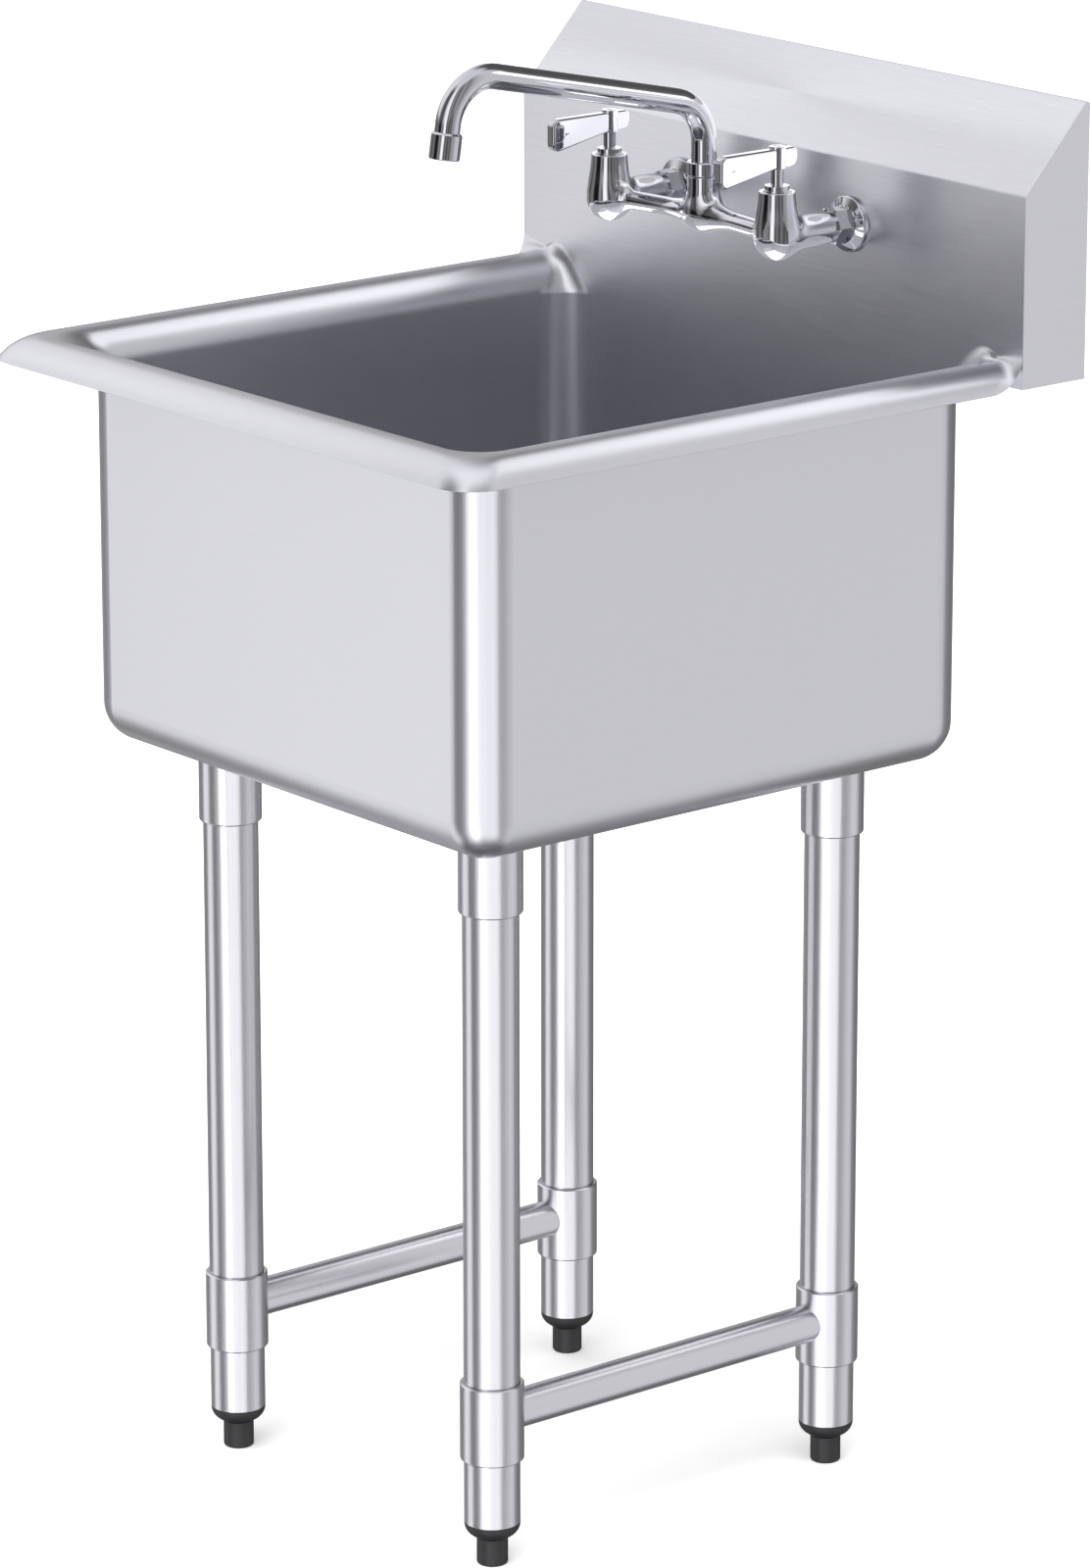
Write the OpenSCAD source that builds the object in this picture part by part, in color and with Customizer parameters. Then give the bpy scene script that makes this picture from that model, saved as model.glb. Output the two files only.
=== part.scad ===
// Free-standing utility laundry sink with a wall-mount mixer tap.
// Millimetres. X runs to the right, -Y is the front, +Z is up.
// The origin is on the floor, under the middle of the whole object.

/* [Overall] */
// Width across the rolled rim and the backsplash
sink_w = 568; // [500:2:640]
// Depth from the front of the rim to the wall
sink_d = 575; // [520:1:640]
// Height of the rim above the floor
rim_z = 862; // [780:1:940]
// Rise of the backsplash above the rim
splash_rise = 186.5; // [150:0.5:260]
// Thickness of the steel sheet
sheet_t = 1.2; // [0.9:0.1:2]

/* [Bowl] */
// Depth of the bowl, from the top of the rim to its underside
bowl_h = 305; // [220:1:360]
// How far the rim reaches out from the bowl's wall
rim_reach = 52; // [46:0.5:60]
// Outside radius of the bowl's upright corners
bowl_corner_r = 31.5; // [20:0.5:45]
// Outside radius between the walls and the floor
bowl_floor_r = 30.5; // [16:0.5:40]
// Diameter of the drain hole
drain_hole_d = 90; // [84:1:100]

/* [Rolled rim] */
// Radius of the roll from the wall up to the crown
roll_in_r = 25.2; // [18:0.2:30]
// Width of the flat crown
crown_w = 3.7; // [1:0.1:8]
// Radius that shapes the outer fall of the rim
roll_out_r = 38; // [28:0.5:60]
// Fall from the crown to the rim's lower edge
rim_drop = 17.2; // [12:0.2:24]
// Radius of the rim's corners in plan
rim_corner_r = 29; // [20:0.5:45]
// Rise of the cove at the crown, where the rim meets the backsplash
cove_crown = 4.5; // [2:0.1:10]
// Rise of the cove above the crown at the rim's outer edge
cove_edge = 10.7; // [4:0.1:16]

/* [Backsplash] */
// Depth of the backsplash
splash_d = 61.5; // [45:0.5:90]
// Height of its sloped top
slope_h = 63.2; // [30:0.1:90]
// Width of the flanges at its back
splash_flange = 18; // [10:0.5:26]
// Outside radius of its bends
bend_r = 2.4; // [2.1:0.1:5]

/* [Legs] */
// Outside diameter of a leg tube
leg_d = 41.3; // [34:0.1:48]
// Wall of a leg tube
leg_wall = 1.2; // [1:0.1:2]
// Distance from a leg's axis to the bowl's side wall
leg_inset_side = 77.7; // [60:0.1:96]
// Distance from a front leg's axis to the bowl's front wall
leg_inset_front = 73.6; // [60:0.1:96]
// Distance from a back leg's axis to the bowl's rear wall
leg_inset_back = 64.1; // [58:0.1:96]
// Gap between a leg and the sleeves round it
sleeve_gap = 0.25; // [0.1:0.05:0.5]
// Wall of the sockets and collars
sleeve_wall = 2.6; // [2:0.1:4]
// Length of a leg socket
socket_h = 59.4; // [45:0.1:80]
// Side of a socket's square plate
plate_w = 74; // [56:1:90]
// Thickness of a socket's plate
plate_t = 2.5; // [1.5:0.1:4]
// Height of a rail collar's lower end
collar_z = 81.7; // [60:0.1:160]
// Length of a rail collar
collar_h = 59.3; // [45:0.1:80]
// Height of a side rail's axis above its collar's lower end
rail_rise = 32.4; // [24:0.1:36]
// Outside diameter of a side rail
rail_d = 28.4; // [22:0.1:34]
// Wall of a side rail
rail_wall = 1.2; // [1:0.1:2]

/* [Feet] */
// Height of a leg tube's lower end above the floor
leg_clear = 33; // [30:0.5:45]
// Diameter of a foot
foot_d = 23; // [18:0.5:28]
// Height of a foot
foot_h = 20.7; // [16:0.1:21]
// Travel of a foot as it is screwed out
foot_travel = 25; // [10:1:30]
// Diameter of a foot's threaded shank
shank_d = 12; // [8:0.5:14]
// Height of the rounded part of a foot cap
cap_dome_h = 11; // [8:0.1:11.5]
// Depth of a foot cap inside its leg
cap_plug_h = 28; // [24:0.5:40]

/* [Drain] */
// Outside diameter of the strainer's flange
flange_d = 114; // [108:1:124]
// Thickness of that flange
flange_t = 1.4; // [1:0.1:2]
// Outside diameter of the strainer's cup
cup_d = 87; // [78:0.5:89]
// Depth of the strainer's cup below the bowl
cup_h = 34; // [28:0.5:40]
// Wall of the strainer's cup
cup_wall = 2; // [1.2:0.1:3]
// Outside diameter of the outlet thread
outlet_d = 47.8; // [40:0.1:52]
// Length of the outlet thread
outlet_h = 22; // [16:0.5:30]
// Wall of the outlet
outlet_wall = 3; // [2:0.1:4]

/* [Tap] */
// Distance between the two supplies
tap_span = 190.5; // [180:0.5:210]
// Height of the supplies above the rim
tap_rise = 76; // [60:0.5:90]
// Distance from the backsplash to the valves' axes
tap_out = 70.8; // [62:0.1:84]
// Distance from the backsplash to the spout's axis
riser_out = 59.6; // [54:0.1:70]
// Radius of a valve chamber's round lower end
valve_r = 17; // [15.5:0.1:19]
// Radius of a valve chamber at its top
valve_top_r = 13.7; // [12.5:0.1:15]
// Height of a valve chamber above the supplies' axis
valve_h = 33; // [30:0.1:38]
// Radius of the middle chamber
hub_r = 14.4; // [13.5:0.1:16]
// Height of the middle chamber's shoulder above the supplies' axis
hub_h = 19; // [17:0.1:24]
// Radius of the throat above that shoulder
throat_r = 12; // [11:0.1:13]
// Length of the throat, up to the spout's nut
throat_h = 10; // [8:0.1:14]
// Radius of the bridge between the chambers
bridge_r = 7.1; // [6.6:0.1:9]
// Radius of a supply arm where it meets its union nut
arm_r = 12.2; // [11:0.1:12.6]
// Outside diameter of a wall flange
wall_flange_d = 42; // [38:0.5:50]
// Diameter of the inlet shanks (half inch thread)
inlet_d = 20.9; // [18:0.1:22]
// Diameter of the shanks where they pass the backsplash
shank_body_d = 22.4; // [20:0.1:24]
// Length of the shanks behind the backsplash's face
inlet_reach = 42; // [34:0.5:46]

/* [Spout] */
// Diameter of the spout tube
spout_d = 18.8; // [16:0.1:20]
// Wall of the spout tube
spout_wall = 1; // [0.8:0.1:1.6]
// Height of the riser's straight part above the supplies' axis
riser_h = 54.8; // [50:0.1:70]
// Centreline radius of the bend at the riser
bend_in_r = 33.7; // [28:0.1:42]
// Centreline radius of the bend at the outlet
bend_out_r = 36.5; // [28:0.1:42]
// Rise of the long straight part, in degrees
spout_pitch = 12.3; // [6:0.1:16]
// Length of the long straight part
spout_run = 174.9; // [110:0.1:200]
// Turn of the outlet bend, in degrees
outlet_turn = 93.8; // [86:0.1:100]
// Straight end of the tube after the outlet bend
spout_tail = 24.9; // [20:0.1:34]
// Length of the aerator
aerator_h = 19.5; // [15:0.1:22]
// Diameter of the aerator
aerator_d = 22.8; // [21.4:0.1:25]

/* [Levers] */
// Height of a lever's hub
lever_hub_h = 16.6; // [14:0.1:20]
// Diameter of a lever's hub
lever_hub_d = 12.1; // [11:0.1:14]
// Reach of a lever from its axis
lever_l = 57.5; // [45:0.5:70]
// Length of a lever's tail behind its axis
lever_tail = 16.5; // [12:0.5:20]
// Thickness of a lever's blade
lever_t = 8.6; // [6:0.1:10]
// Height of the blade at its tip
lever_tip_h = 24; // [18:0.5:28]

/* [Hidden] */
$fn = 96;
steel = "#c9cbd0";
dark_steel = "#b4b6bb";
chrome = "#e4e6ea";
brass = "#c9a84e";
black = "#17171a";
rubber = "#2b2b2e";
fibre = "#9a4a3a";
nylon = "#e8e6de";

// Overrun of cuts, and the small gap between pieces that seat on each other
cut = 1;
seat_gap = 0.3;
fit_gap = 0.05;

// Bowl and rim
bowl_w = sink_w - 2 * rim_reach;
wall_y = sink_d / 2 - splash_d;
front_y = rim_reach - sink_d / 2;
back_y = wall_y + sheet_t;
bowl_z = rim_z - bowl_h;
seam_h = 1.8;
seam_z = rim_z - roll_in_r - seam_h;
rim_edge_z = rim_z - rim_drop;
drain_y = (front_y + wall_y) / 2;
recess_drop = 1.6;
recess_gap = 1.5;
roll_steps = 8;
corner_steps = 8;
cove_steps = 5;
cove_shares = [1.96, -3.87, 2.91];
weld_share = 0.3;

// Outline points of an ellipse's arc
function oval(cx, cy, rx, ry, a0, a1, n) =
    [for (i = [0:n]) let (a = a0 + (a1 - a0) * i / n) [cx + rx * cos(a), cy + ry * sin(a)]];

// Plan of the bowl, drawn in from its outside by inset
module bowl_plan(inset) {
    x = bowl_w / 2 - bowl_corner_r;
    y0 = front_y + bowl_corner_r;
    y1 = back_y - bowl_corner_r;
    r = bowl_corner_r - inset;
    for (sx = [-1, 1])
        for (y = [y0, y1])
            translate([sx * x, y])
                circle(r);
    translate([-x, y0 - r])
        square([2 * x, y1 - y0 + 2 * r]);
    translate([-x - r, y0])
        square([2 * (x + r), y1 - y0]);
}

// The rounded foot of one wall or corner, as a profile beside the z axis
module floor_profile(inset) {
    r = bowl_floor_r - inset;
    c = bowl_corner_r - bowl_floor_r;
    intersection() {
        translate([c, bowl_floor_r])
            circle(r);
        square([c + bowl_floor_r, bowl_floor_r]);
    }
    if (c > 0)
        translate([0, inset])
            square([c, bowl_floor_r - inset]);
}

// The rounded lower part of the bowl, solid, drawn in by inset
module bowl_foot(inset) {
    x = bowl_w / 2 - bowl_corner_r;
    y0 = front_y + bowl_corner_r;
    y1 = back_y - bowl_corner_r;
    for (sx = [-1, 1])
        for (y = [y0, y1])
            translate([sx * x, y, bowl_z])
                rotate_extrude()
                    floor_profile(inset);
    for (side = [0, 1])
        mirror([side, 0, 0])
            translate([x, y1, bowl_z])
                rotate([90, 0, 0])
                    linear_extrude(y1 - y0)
                        floor_profile(inset);
    translate([-x, y0, bowl_z])
        rotate([90, 0, 90])
            linear_extrude(2 * x)
                mirror([1, 0, 0])
                    floor_profile(inset);
    translate([-x, y1, bowl_z])
        rotate([90, 0, 90])
            linear_extrude(2 * x)
                floor_profile(inset);
    translate([-x, y0, bowl_z + inset])
        cube([2 * x, y1 - y0, bowl_floor_r - inset]);
}

// The strip of the rear wall between the bowl's seam and the backsplash
module rear_web() {
    low = bowl_w / 2 - bowl_corner_r;
    high = bowl_w / 2 - bowl_corner_r / 2;
    polygon([[-low, 0], [low, 0], [high, rim_edge_z - seam_z], [-high, rim_edge_z - seam_z]]);
}

module bowl() {
    color(steel)
        difference() {
            union() {
                bowl_foot(0);
                translate([0, 0, bowl_z + bowl_floor_r])
                    linear_extrude(seam_z - bowl_z - bowl_floor_r)
                        bowl_plan(0);
                translate([0, back_y, seam_z])
                    rotate([90, 0, 0])
                        linear_extrude(sheet_t)
                            rear_web();
                translate([0, drain_y, bowl_z - recess_drop])
                    cylinder(h = recess_drop + sheet_t, r = flange_d / 2 + recess_gap + sheet_t);
            }
            bowl_foot(sheet_t);
            translate([0, 0, bowl_z + bowl_floor_r])
                linear_extrude(bowl_h)
                    bowl_plan(sheet_t);
            translate([0, drain_y, bowl_z - recess_drop + sheet_t])
                cylinder(h = recess_drop + sheet_t, r = flange_d / 2 + recess_gap);
            translate([0, drain_y, bowl_z - recess_drop - cut])
                cylinder(h = recess_drop + sheet_t + 2 * cut, d = drain_hole_d);
        }
}

// Section of the rim: distance out from the wall, height, then the direction the sheet's top faces
crown_u = roll_in_r - sheet_t + crown_w;
fall_angle = acos(1 - rim_drop / roll_out_r);
fall_share = (rim_reach - crown_u) / (roll_out_r * sin(fall_angle));
function fall_facing(a) = let (n = [sin(a), fall_share * cos(a)]) n / norm(n);
rim_section = concat(
    [[-sheet_t, seam_z, -1, 0]],
    [for (i = [0:roll_steps]) let (a = 180 - 90 * i / roll_steps)
        [roll_in_r - sheet_t + roll_in_r * cos(a), rim_z - roll_in_r + roll_in_r * sin(a), cos(a), sin(a)]],
    [for (i = [0:roll_steps]) let (a = fall_angle * i / roll_steps, n = fall_facing(a))
        [crown_u + fall_share * roll_out_r * sin(a), rim_z - roll_out_r * (1 - cos(a)), n[0], n[1]]]);

// Radius of the cove at one point of the section, from the bowl's corner radius down to the crown's small one
function cove_share(t) = t * (cove_shares[0] + t * (cove_shares[1] + t * cove_shares[2]));
function past_roll(p) = p[0] > crown_u - crown_w + fit_gap;
function cove_reach(p) = past_roll(p)
    ? rim_z + cove_crown - p[1] + (cove_edge - cove_crown) * max(0, p[0] - crown_u) / (rim_reach - crown_u)
    : cove_crown + (bowl_corner_r - sheet_t - cove_crown) * cove_share(acos(p[3]) / 90);
function cove_climb(p) = past_roll(p) ? [0, 1] : [p[2], p[3]];

// Radius of the rim's plan corner at a distance u out from the wall
function plan_r(u) = u < 0 ? bowl_corner_r + u : bowl_corner_r + (rim_corner_r - bowl_corner_r) * u / rim_reach;

// A point on the rim's path: end 0 is a cove at the wall, end 1 a front corner
function path_point(u, z, side, end, turn, reach) =
    let (a = bowl_w / 2 + u, r = plan_r(u))
    end == 1
        ? [side * (a - r + r * cos(turn)), front_y - u + r - r * sin(turn), z]
        : [side * a, wall_y - reach * (1 - sin(turn)), z];

// The ring of points round the sheet at one station of the path
function rim_ring(side, end, turn) = concat(
    [for (p = rim_section)
        let (reach = cove_reach(p), climb = cove_climb(p), lift = end == 0 ? reach * (1 - cos(turn)) : 0,
            q = path_point(p[0], p[1], side, end, turn, reach))
        [q[0] + side * lift * climb[0], q[1], q[2] + lift * climb[1]]],
    [for (i = [len(rim_section) - 1:-1:0])
        let (p = rim_section[i], reach = cove_reach(p), climb = cove_climb(p),
            lift = end == 0 ? reach * (1 - cos(turn)) : 0,
            skin = end == 0 ? sheet_t * max(cos(turn), weld_share) : sheet_t,
            q = path_point(p[0] - skin * p[2], p[1] - skin * p[3], side, end, turn, reach),
            y = end == 0 ? min(q[1] + sheet_t * sin(turn), wall_y) : q[1])
        [q[0] + side * lift * climb[0], y, q[2] + lift * climb[1]]]);
rim_rings = concat(
    [for (i = [0:cove_steps]) rim_ring(-1, 0, 90 - 90 * i / cove_steps)],
    [for (i = [0:corner_steps]) rim_ring(-1, 1, 90 * i / corner_steps)],
    [for (i = [0:corner_steps]) rim_ring(1, 1, 90 - 90 * i / corner_steps)],
    [for (i = [0:cove_steps]) rim_ring(1, 0, 90 * i / cove_steps)]);

// One skin through a list of closed rings, with both ends closed
module loft(rings) {
    n = len(rings[0]);
    m = len(rings);
    sides = [for (j = [0:m - 2], i = [0:n - 1], half = [0, 1])
        let (a = j * n + i, b = j * n + (i + 1) % n)
        half == 0 ? [a, b, b + n] : [a, b + n, a + n]];
    ends = [[for (i = [n - 1:-1:0]) i], [for (i = [0:n - 1]) (m - 1) * n + i]];
    polyhedron(points = [for (ring = rings) each ring], faces = concat(sides, ends));
}

module rolled_rim() {
    color(steel)
        loft(rim_rings);
}

// Backsplash
top_z = rim_z + splash_rise;
slope_z = top_z - slope_h;
splash_back = sink_d / 2;
slope_turn = atan((splash_d - 2 * bend_r) / (slope_h - bend_r));

// Outside of the backsplash's section, as y and z, drawn in by inset
function splash_outline(inset) =
    let (r = bend_r - inset, s = slope_turn)
    concat(
        [[wall_y + inset, rim_edge_z]],
        oval(wall_y + bend_r, slope_z, r, r, 180, 180 - s, 4),
        oval(splash_back - bend_r, top_z - bend_r, r, r, 180 - s, 0, 8),
        [[splash_back - inset, top_z - splash_flange]]);

module backsplash() {
    outer = splash_outline(0);
    inner = splash_outline(sheet_t);
    shell = concat(outer, [for (i = [len(inner) - 1:-1:0]) inner[i]]);
    color(steel)
        difference() {
            union() {
                translate([-sink_w / 2 + sheet_t, 0, 0])
                    rotate([90, 0, 90])
                        linear_extrude(sink_w - 2 * sheet_t)
                            polygon(shell);
                translate([-sink_w / 2 + sheet_t, wall_y, rim_edge_z])
                    cube([sink_w - 2 * sheet_t, sheet_t + splash_flange, sheet_t]);
            }
            for (side = [-1, 1])
                translate([side * tap_span / 2, wall_y - cut, tap_z])
                    rotate([-90, 0, 0])
                        cylinder(h = sheet_t + 2 * cut, d = shank_body_d + 2 * inlet_hole_gap);
        }
}

module backsplash_end(side) {
    outer = concat(splash_outline(0), [[splash_back, rim_edge_z]]);
    x = side > 0 ? sink_w / 2 - sheet_t : -sink_w / 2;
    color(steel)
        translate([x, 0, 0])
            rotate([90, 0, 90])
                linear_extrude(sheet_t)
                    polygon(outer);
}

// Legs
sleeve_r = leg_d / 2 + sleeve_gap + sleeve_wall;
sleeve_bore = leg_d / 2 + sleeve_gap;
sleeve_round = 1.6;
sleeve_bevel = 0.8;
socket_z = bowl_z - socket_h;
leg_top_gap = 1;
leg_top_z = bowl_z - plate_t - leg_top_gap;
rail_z = collar_z + rail_rise;
screw_d = 7.8;
screw_gap = 0.1;
screw_key_d = 4;
screw_key_depth = 3;
screw_proud = 0.8;
collar_screw_z = collar_z + (rail_rise - rail_d / 2) / 2;
plate_corner_r = 10;

leg_x = bowl_w / 2 - leg_inset_side;
leg_front_y = front_y + leg_inset_front;
leg_back_y = back_y - leg_inset_back;

function leg_xy(sx, sy) = [sx * leg_x, sy < 0 ? leg_front_y : leg_back_y];

module at_leg(sx, sy) {
    translate([leg_xy(sx, sy)[0], leg_xy(sx, sy)[1], 0])
        children();
}

// A sleeve round a leg, rounded at its foot and bevelled at its top
module sleeve(h, bevel) {
    rotate_extrude()
        polygon(concat(
            oval(sleeve_r - sleeve_round, sleeve_round, sleeve_round, sleeve_round, -90, 0, 5),
            [[sleeve_r, h - bevel], [sleeve_r - bevel, h], [sleeve_bore, h], [sleeve_bore, 0]]));
}

module screw_hole(z) {
    translate([0, sleeve_r + cut, z])
        rotate([90, 0, 0])
            cylinder(h = sleeve_wall + sleeve_gap + 2 * cut, d = screw_d + 2 * screw_gap);
}

module leg_socket(sx, sy) {
    r = plate_w / 2 - plate_corner_r;
    color(dark_steel)
        at_leg(sx, sy)
            difference() {
                union() {
                    translate([0, 0, socket_z])
                        sleeve(socket_h - plate_t, 0);
                    translate([0, 0, bowl_z - plate_t])
                        linear_extrude(plate_t)
                            union() {
                                for (x = [-r, r])
                                    for (y = [-r, r])
                                        translate([x, y])
                                            circle(plate_corner_r);
                                square([plate_w, 2 * r], center = true);
                                square([2 * r, plate_w], center = true);
                            }
                }
                screw_hole(socket_z + socket_h / 2);
            }
}

module set_screw(z) {
    l = sleeve_r + screw_proud - leg_d / 2;
    translate([0, sleeve_r + screw_proud, z])
        rotate([90, 0, 0])
            difference() {
                cylinder(h = l, d = screw_d);
                translate([0, 0, -cut])
                    cylinder(h = screw_key_depth + cut, d = screw_key_d, $fn = 6);
            }
}

module socket_set_screws() {
    color(dark_steel)
        for (sx = [-1, 1])
            for (sy = [-1, 1])
                at_leg(sx, sy)
                    set_screw(socket_z + socket_h / 2);
}

module leg(sx, sy) {
    color(steel)
        at_leg(sx, sy)
            translate([0, 0, leg_clear])
                difference() {
                    cylinder(h = leg_top_z - leg_clear, d = leg_d);
                    translate([0, 0, -cut])
                        cylinder(h = leg_top_z - leg_clear + 2 * cut, d = leg_d - 2 * leg_wall);
                }
}

module rail_collar(sx, sy) {
    color(steel)
        at_leg(sx, sy)
            difference() {
                translate([0, 0, collar_z])
                    sleeve(collar_h, sleeve_bevel);
                screw_hole(collar_screw_z);
            }
}

module collar_set_screws() {
    color(dark_steel)
        for (sx = [-1, 1])
            for (sy = [-1, 1])
                at_leg(sx, sy)
                    set_screw(collar_screw_z);
}

module side_rail(sx) {
    l = leg_back_y - leg_front_y;
    color(steel)
        difference() {
            translate([sx * leg_x, leg_front_y, rail_z])
                rotate([-90, 0, 0])
                    difference() {
                        cylinder(h = l, d = rail_d);
                        translate([0, 0, -cut])
                            cylinder(h = l + 2 * cut, d = rail_d - 2 * rail_wall);
                    }
            for (sy = [-1, 1])
                at_leg(sx, sy)
                    translate([0, 0, collar_z - cut])
                        cylinder(h = collar_h + 2 * cut, r = sleeve_r);
        }
}

// Feet
plug_gap = 0.15;
dome_flat = 1;
cap_lip = 3.5;
dome_r = leg_d / 2 - foot_d / 2 + cap_lip;
cap_low_z = leg_clear - dome_flat - cap_dome_h;
cap_rib_t = 1.6;
cap_core_r = 10;
foot_round = 2;
thread_hold = 12;
foot_shank_top = cap_low_z + foot_travel + thread_hold;

module foot_cap(sx, sy) {
    r = leg_d / 2;
    bore = leg_d / 2 - leg_wall - plug_gap;
    color(black)
        at_leg(sx, sy)
            difference() {
                union() {
                    rotate_extrude()
                        polygon(concat(
                            [[0, leg_clear], [0, cap_low_z]],
                            oval(r - dome_r, leg_clear - dome_flat, dome_r, cap_dome_h, -80, 0, 9),
                            [[r, leg_clear]]));
                    translate([0, 0, leg_clear])
                        cylinder(h = cap_plug_h, r = cap_core_r);
                    for (a = [0:45:315])
                        rotate([0, 0, a])
                            translate([cap_core_r - cap_rib_t, -cap_rib_t / 2, leg_clear])
                                cube([bore - cap_core_r, cap_rib_t, cap_plug_h - cap_rib_t]);
                    translate([0, 0, leg_clear])
                        difference() {
                            cylinder(h = cap_plug_h, r = bore);
                            cylinder(h = cap_plug_h + cut, r = bore - cap_rib_t);
                        }
                }
                translate([0, 0, cap_low_z - cut])
                    cylinder(h = leg_clear + cap_plug_h - cap_low_z + 2 * cut, d = shank_d + 2 * fit_gap);
            }
}

module foot(sx, sy) {
    r = foot_d / 2;
    color(black)
        at_leg(sx, sy) {
            rotate_extrude()
                polygon(concat(
                    [[0, foot_h], [0, 0]],
                    oval(r - foot_round, foot_round, foot_round, foot_round, -90, 0, 5),
                    [[r, foot_h]]));
            translate([0, 0, foot_h])
                cylinder(h = foot_shank_top - foot_h, d = shank_d);
        }
}

// Drain
flange_z = bowl_z - recess_drop + sheet_t;
cup_top_z = flange_z + flange_t;
cup_low_z = bowl_z - cup_h;
outlet_low_z = cup_low_z - outlet_h;
under_z = bowl_z - recess_drop;
gasket_t = 3;
washer_t = 1;
locknut_h = 9;
locknut_reach = 11;
thread_gap = 0.3;
lug_count = 6;
lug_w = 9;
lug_reach = 4;
lug_drop = 0.8;
lip_r = 4;
basket_gap = 0.6;
basket_wall = 1;
basket_h = 26;
basket_hole_d = 4.6;
basket_rim = 3;
basket_low_z = cup_top_z - basket_h;
knob_d = 12;
knob_h = 8;
knob_stem_d = 6;
seal_t = 3;
seal_d = 44;

module strainer_body() {
    r = cup_d / 2;
    color(steel)
        translate([0, drain_y, 0])
            difference() {
                union() {
                    translate([0, 0, flange_z])
                        cylinder(h = flange_t, d = flange_d);
                    translate([0, 0, cup_low_z])
                        cylinder(h = flange_z - cup_low_z + flange_t, r = r);
                    translate([0, 0, outlet_low_z])
                        cylinder(h = cup_low_z - outlet_low_z + cup_wall, d = outlet_d);
                }
                translate([0, 0, cup_low_z + cup_wall])
                    cylinder(h = cup_h + recess_drop + sheet_t, r = r - cup_wall);
                translate([0, 0, cup_top_z - lip_r])
                    cylinder(h = lip_r + cut, r1 = r - cup_wall - cut, r2 = r - cup_wall + lip_r);
                translate([0, 0, outlet_low_z - cut])
                    cylinder(h = outlet_h + cup_wall + 2 * cut, d = outlet_d - 2 * outlet_wall);
            }
}

module drain_ring(z, h, r_out) {
    translate([0, drain_y, z])
        difference() {
            cylinder(h = h, r = r_out);
            translate([0, 0, -cut])
                cylinder(h = h + 2 * cut, r = cup_d / 2 + thread_gap);
        }
}

module strainer_gasket() {
    color(rubber)
        drain_ring(under_z - gasket_t, gasket_t, cup_d / 2 + locknut_reach);
}

module strainer_washer() {
    color(fibre)
        drain_ring(under_z - gasket_t - washer_t, washer_t, cup_d / 2 + locknut_reach);
}

module strainer_locknut() {
    z = under_z - gasket_t - washer_t - locknut_h;
    color(brass)
        union() {
            drain_ring(z, locknut_h, cup_d / 2 + locknut_reach - lug_reach);
            translate([0, drain_y, z])
                for (i = [0:lug_count - 1])
                    rotate([0, 0, 360 * i / lug_count])
                        translate([cup_d / 2 + locknut_reach - 2 * lug_reach, -lug_w / 2, lug_drop])
                            cube([2 * lug_reach, lug_w, locknut_h - 2 * lug_drop]);
        }
}

module strainer_basket() {
    r = cup_d / 2 - cup_wall - basket_gap;
    color(steel)
        translate([0, drain_y, basket_low_z])
            difference() {
                union() {
                    cylinder(h = basket_h - basket_rim, r = r);
                    translate([0, 0, basket_h - basket_rim])
                        cylinder(h = basket_rim, r1 = r, r2 = r + basket_rim);
                }
                translate([0, 0, basket_wall])
                    difference() {
                        cylinder(h = basket_h, r = r - basket_wall);
                        translate([0, 0, -cut])
                            cylinder(h = basket_h - knob_h + cut, d = knob_stem_d);
                        translate([0, 0, basket_h - knob_h])
                            cylinder(h = knob_h, d = knob_d);
                    }
                for (ring = [1:3])
                    for (i = [0:6 * ring - 1])
                        rotate([0, 0, 60 * i / ring])
                            translate([seal_d / 2 + (ring - 0.5) * (r - basket_wall - seal_d / 2) / 3, 0, -cut])
                                cylinder(h = basket_wall + 2 * cut, d = basket_hole_d / 2 * (ring == 1 ? 1 : 1.4));
            }
}

module basket_seal() {
    color(rubber)
        translate([0, drain_y, basket_low_z - seal_t])
            cylinder(h = seal_t, d = seal_d);
}

// Tap
tap_z = rim_z + tap_rise;
valve_x = tap_span / 2;
valve_y = wall_y - tap_out;
riser_y = wall_y - riser_out;
valve_low = 1;
hub_lift = 2;
inlet_hole_gap = 0.8;
flange_depth = 6;
flange_lip = 2;
nut_l = 14;
nut_r = 12.9;
nut_corner_r = 14.4;
nut_wall = 1.4;
arm_end_y = wall_y - flange_depth - nut_l + nut_wall;
arm_thread_l = 5;
arm_flare_l = 30;
washer_l = 2;
bore_r = 6;
cart_r = 9;
cart_low = 5;
cart_gap = 0.15;
ledge_round = 1;
neck_r = 10.2;
neck_h = 5;
seat_r = 8.4;
seat_depth = 16;
waterway_r = 4.5;
cavity_r = 7.8;
tuck = 0.3;
hub_flare_r = 12.2;
hub_flare_l = 38;
valve_flare_r = 12.5;
valve_flare_l = 26;
bridge_turn = atan((riser_out - tap_out) / valve_x);
bridge_l = norm([valve_x, tap_out - riser_out]);
swell_steps = 8;

// Outline points of a radius that passes smoothly from r0 at the place a to r1 at the place b
function swell(a, b, r0, r1) =
    [for (i = [0:swell_steps])
        let (t = i / swell_steps, s = (1 - cos(180 * t)) / 2)
            [r0 + (r1 - r0) * s, a + (b - a) * t]];

module at_valve(side) {
    translate([side * valve_x, valve_y, tap_z])
        children();
}

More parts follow.
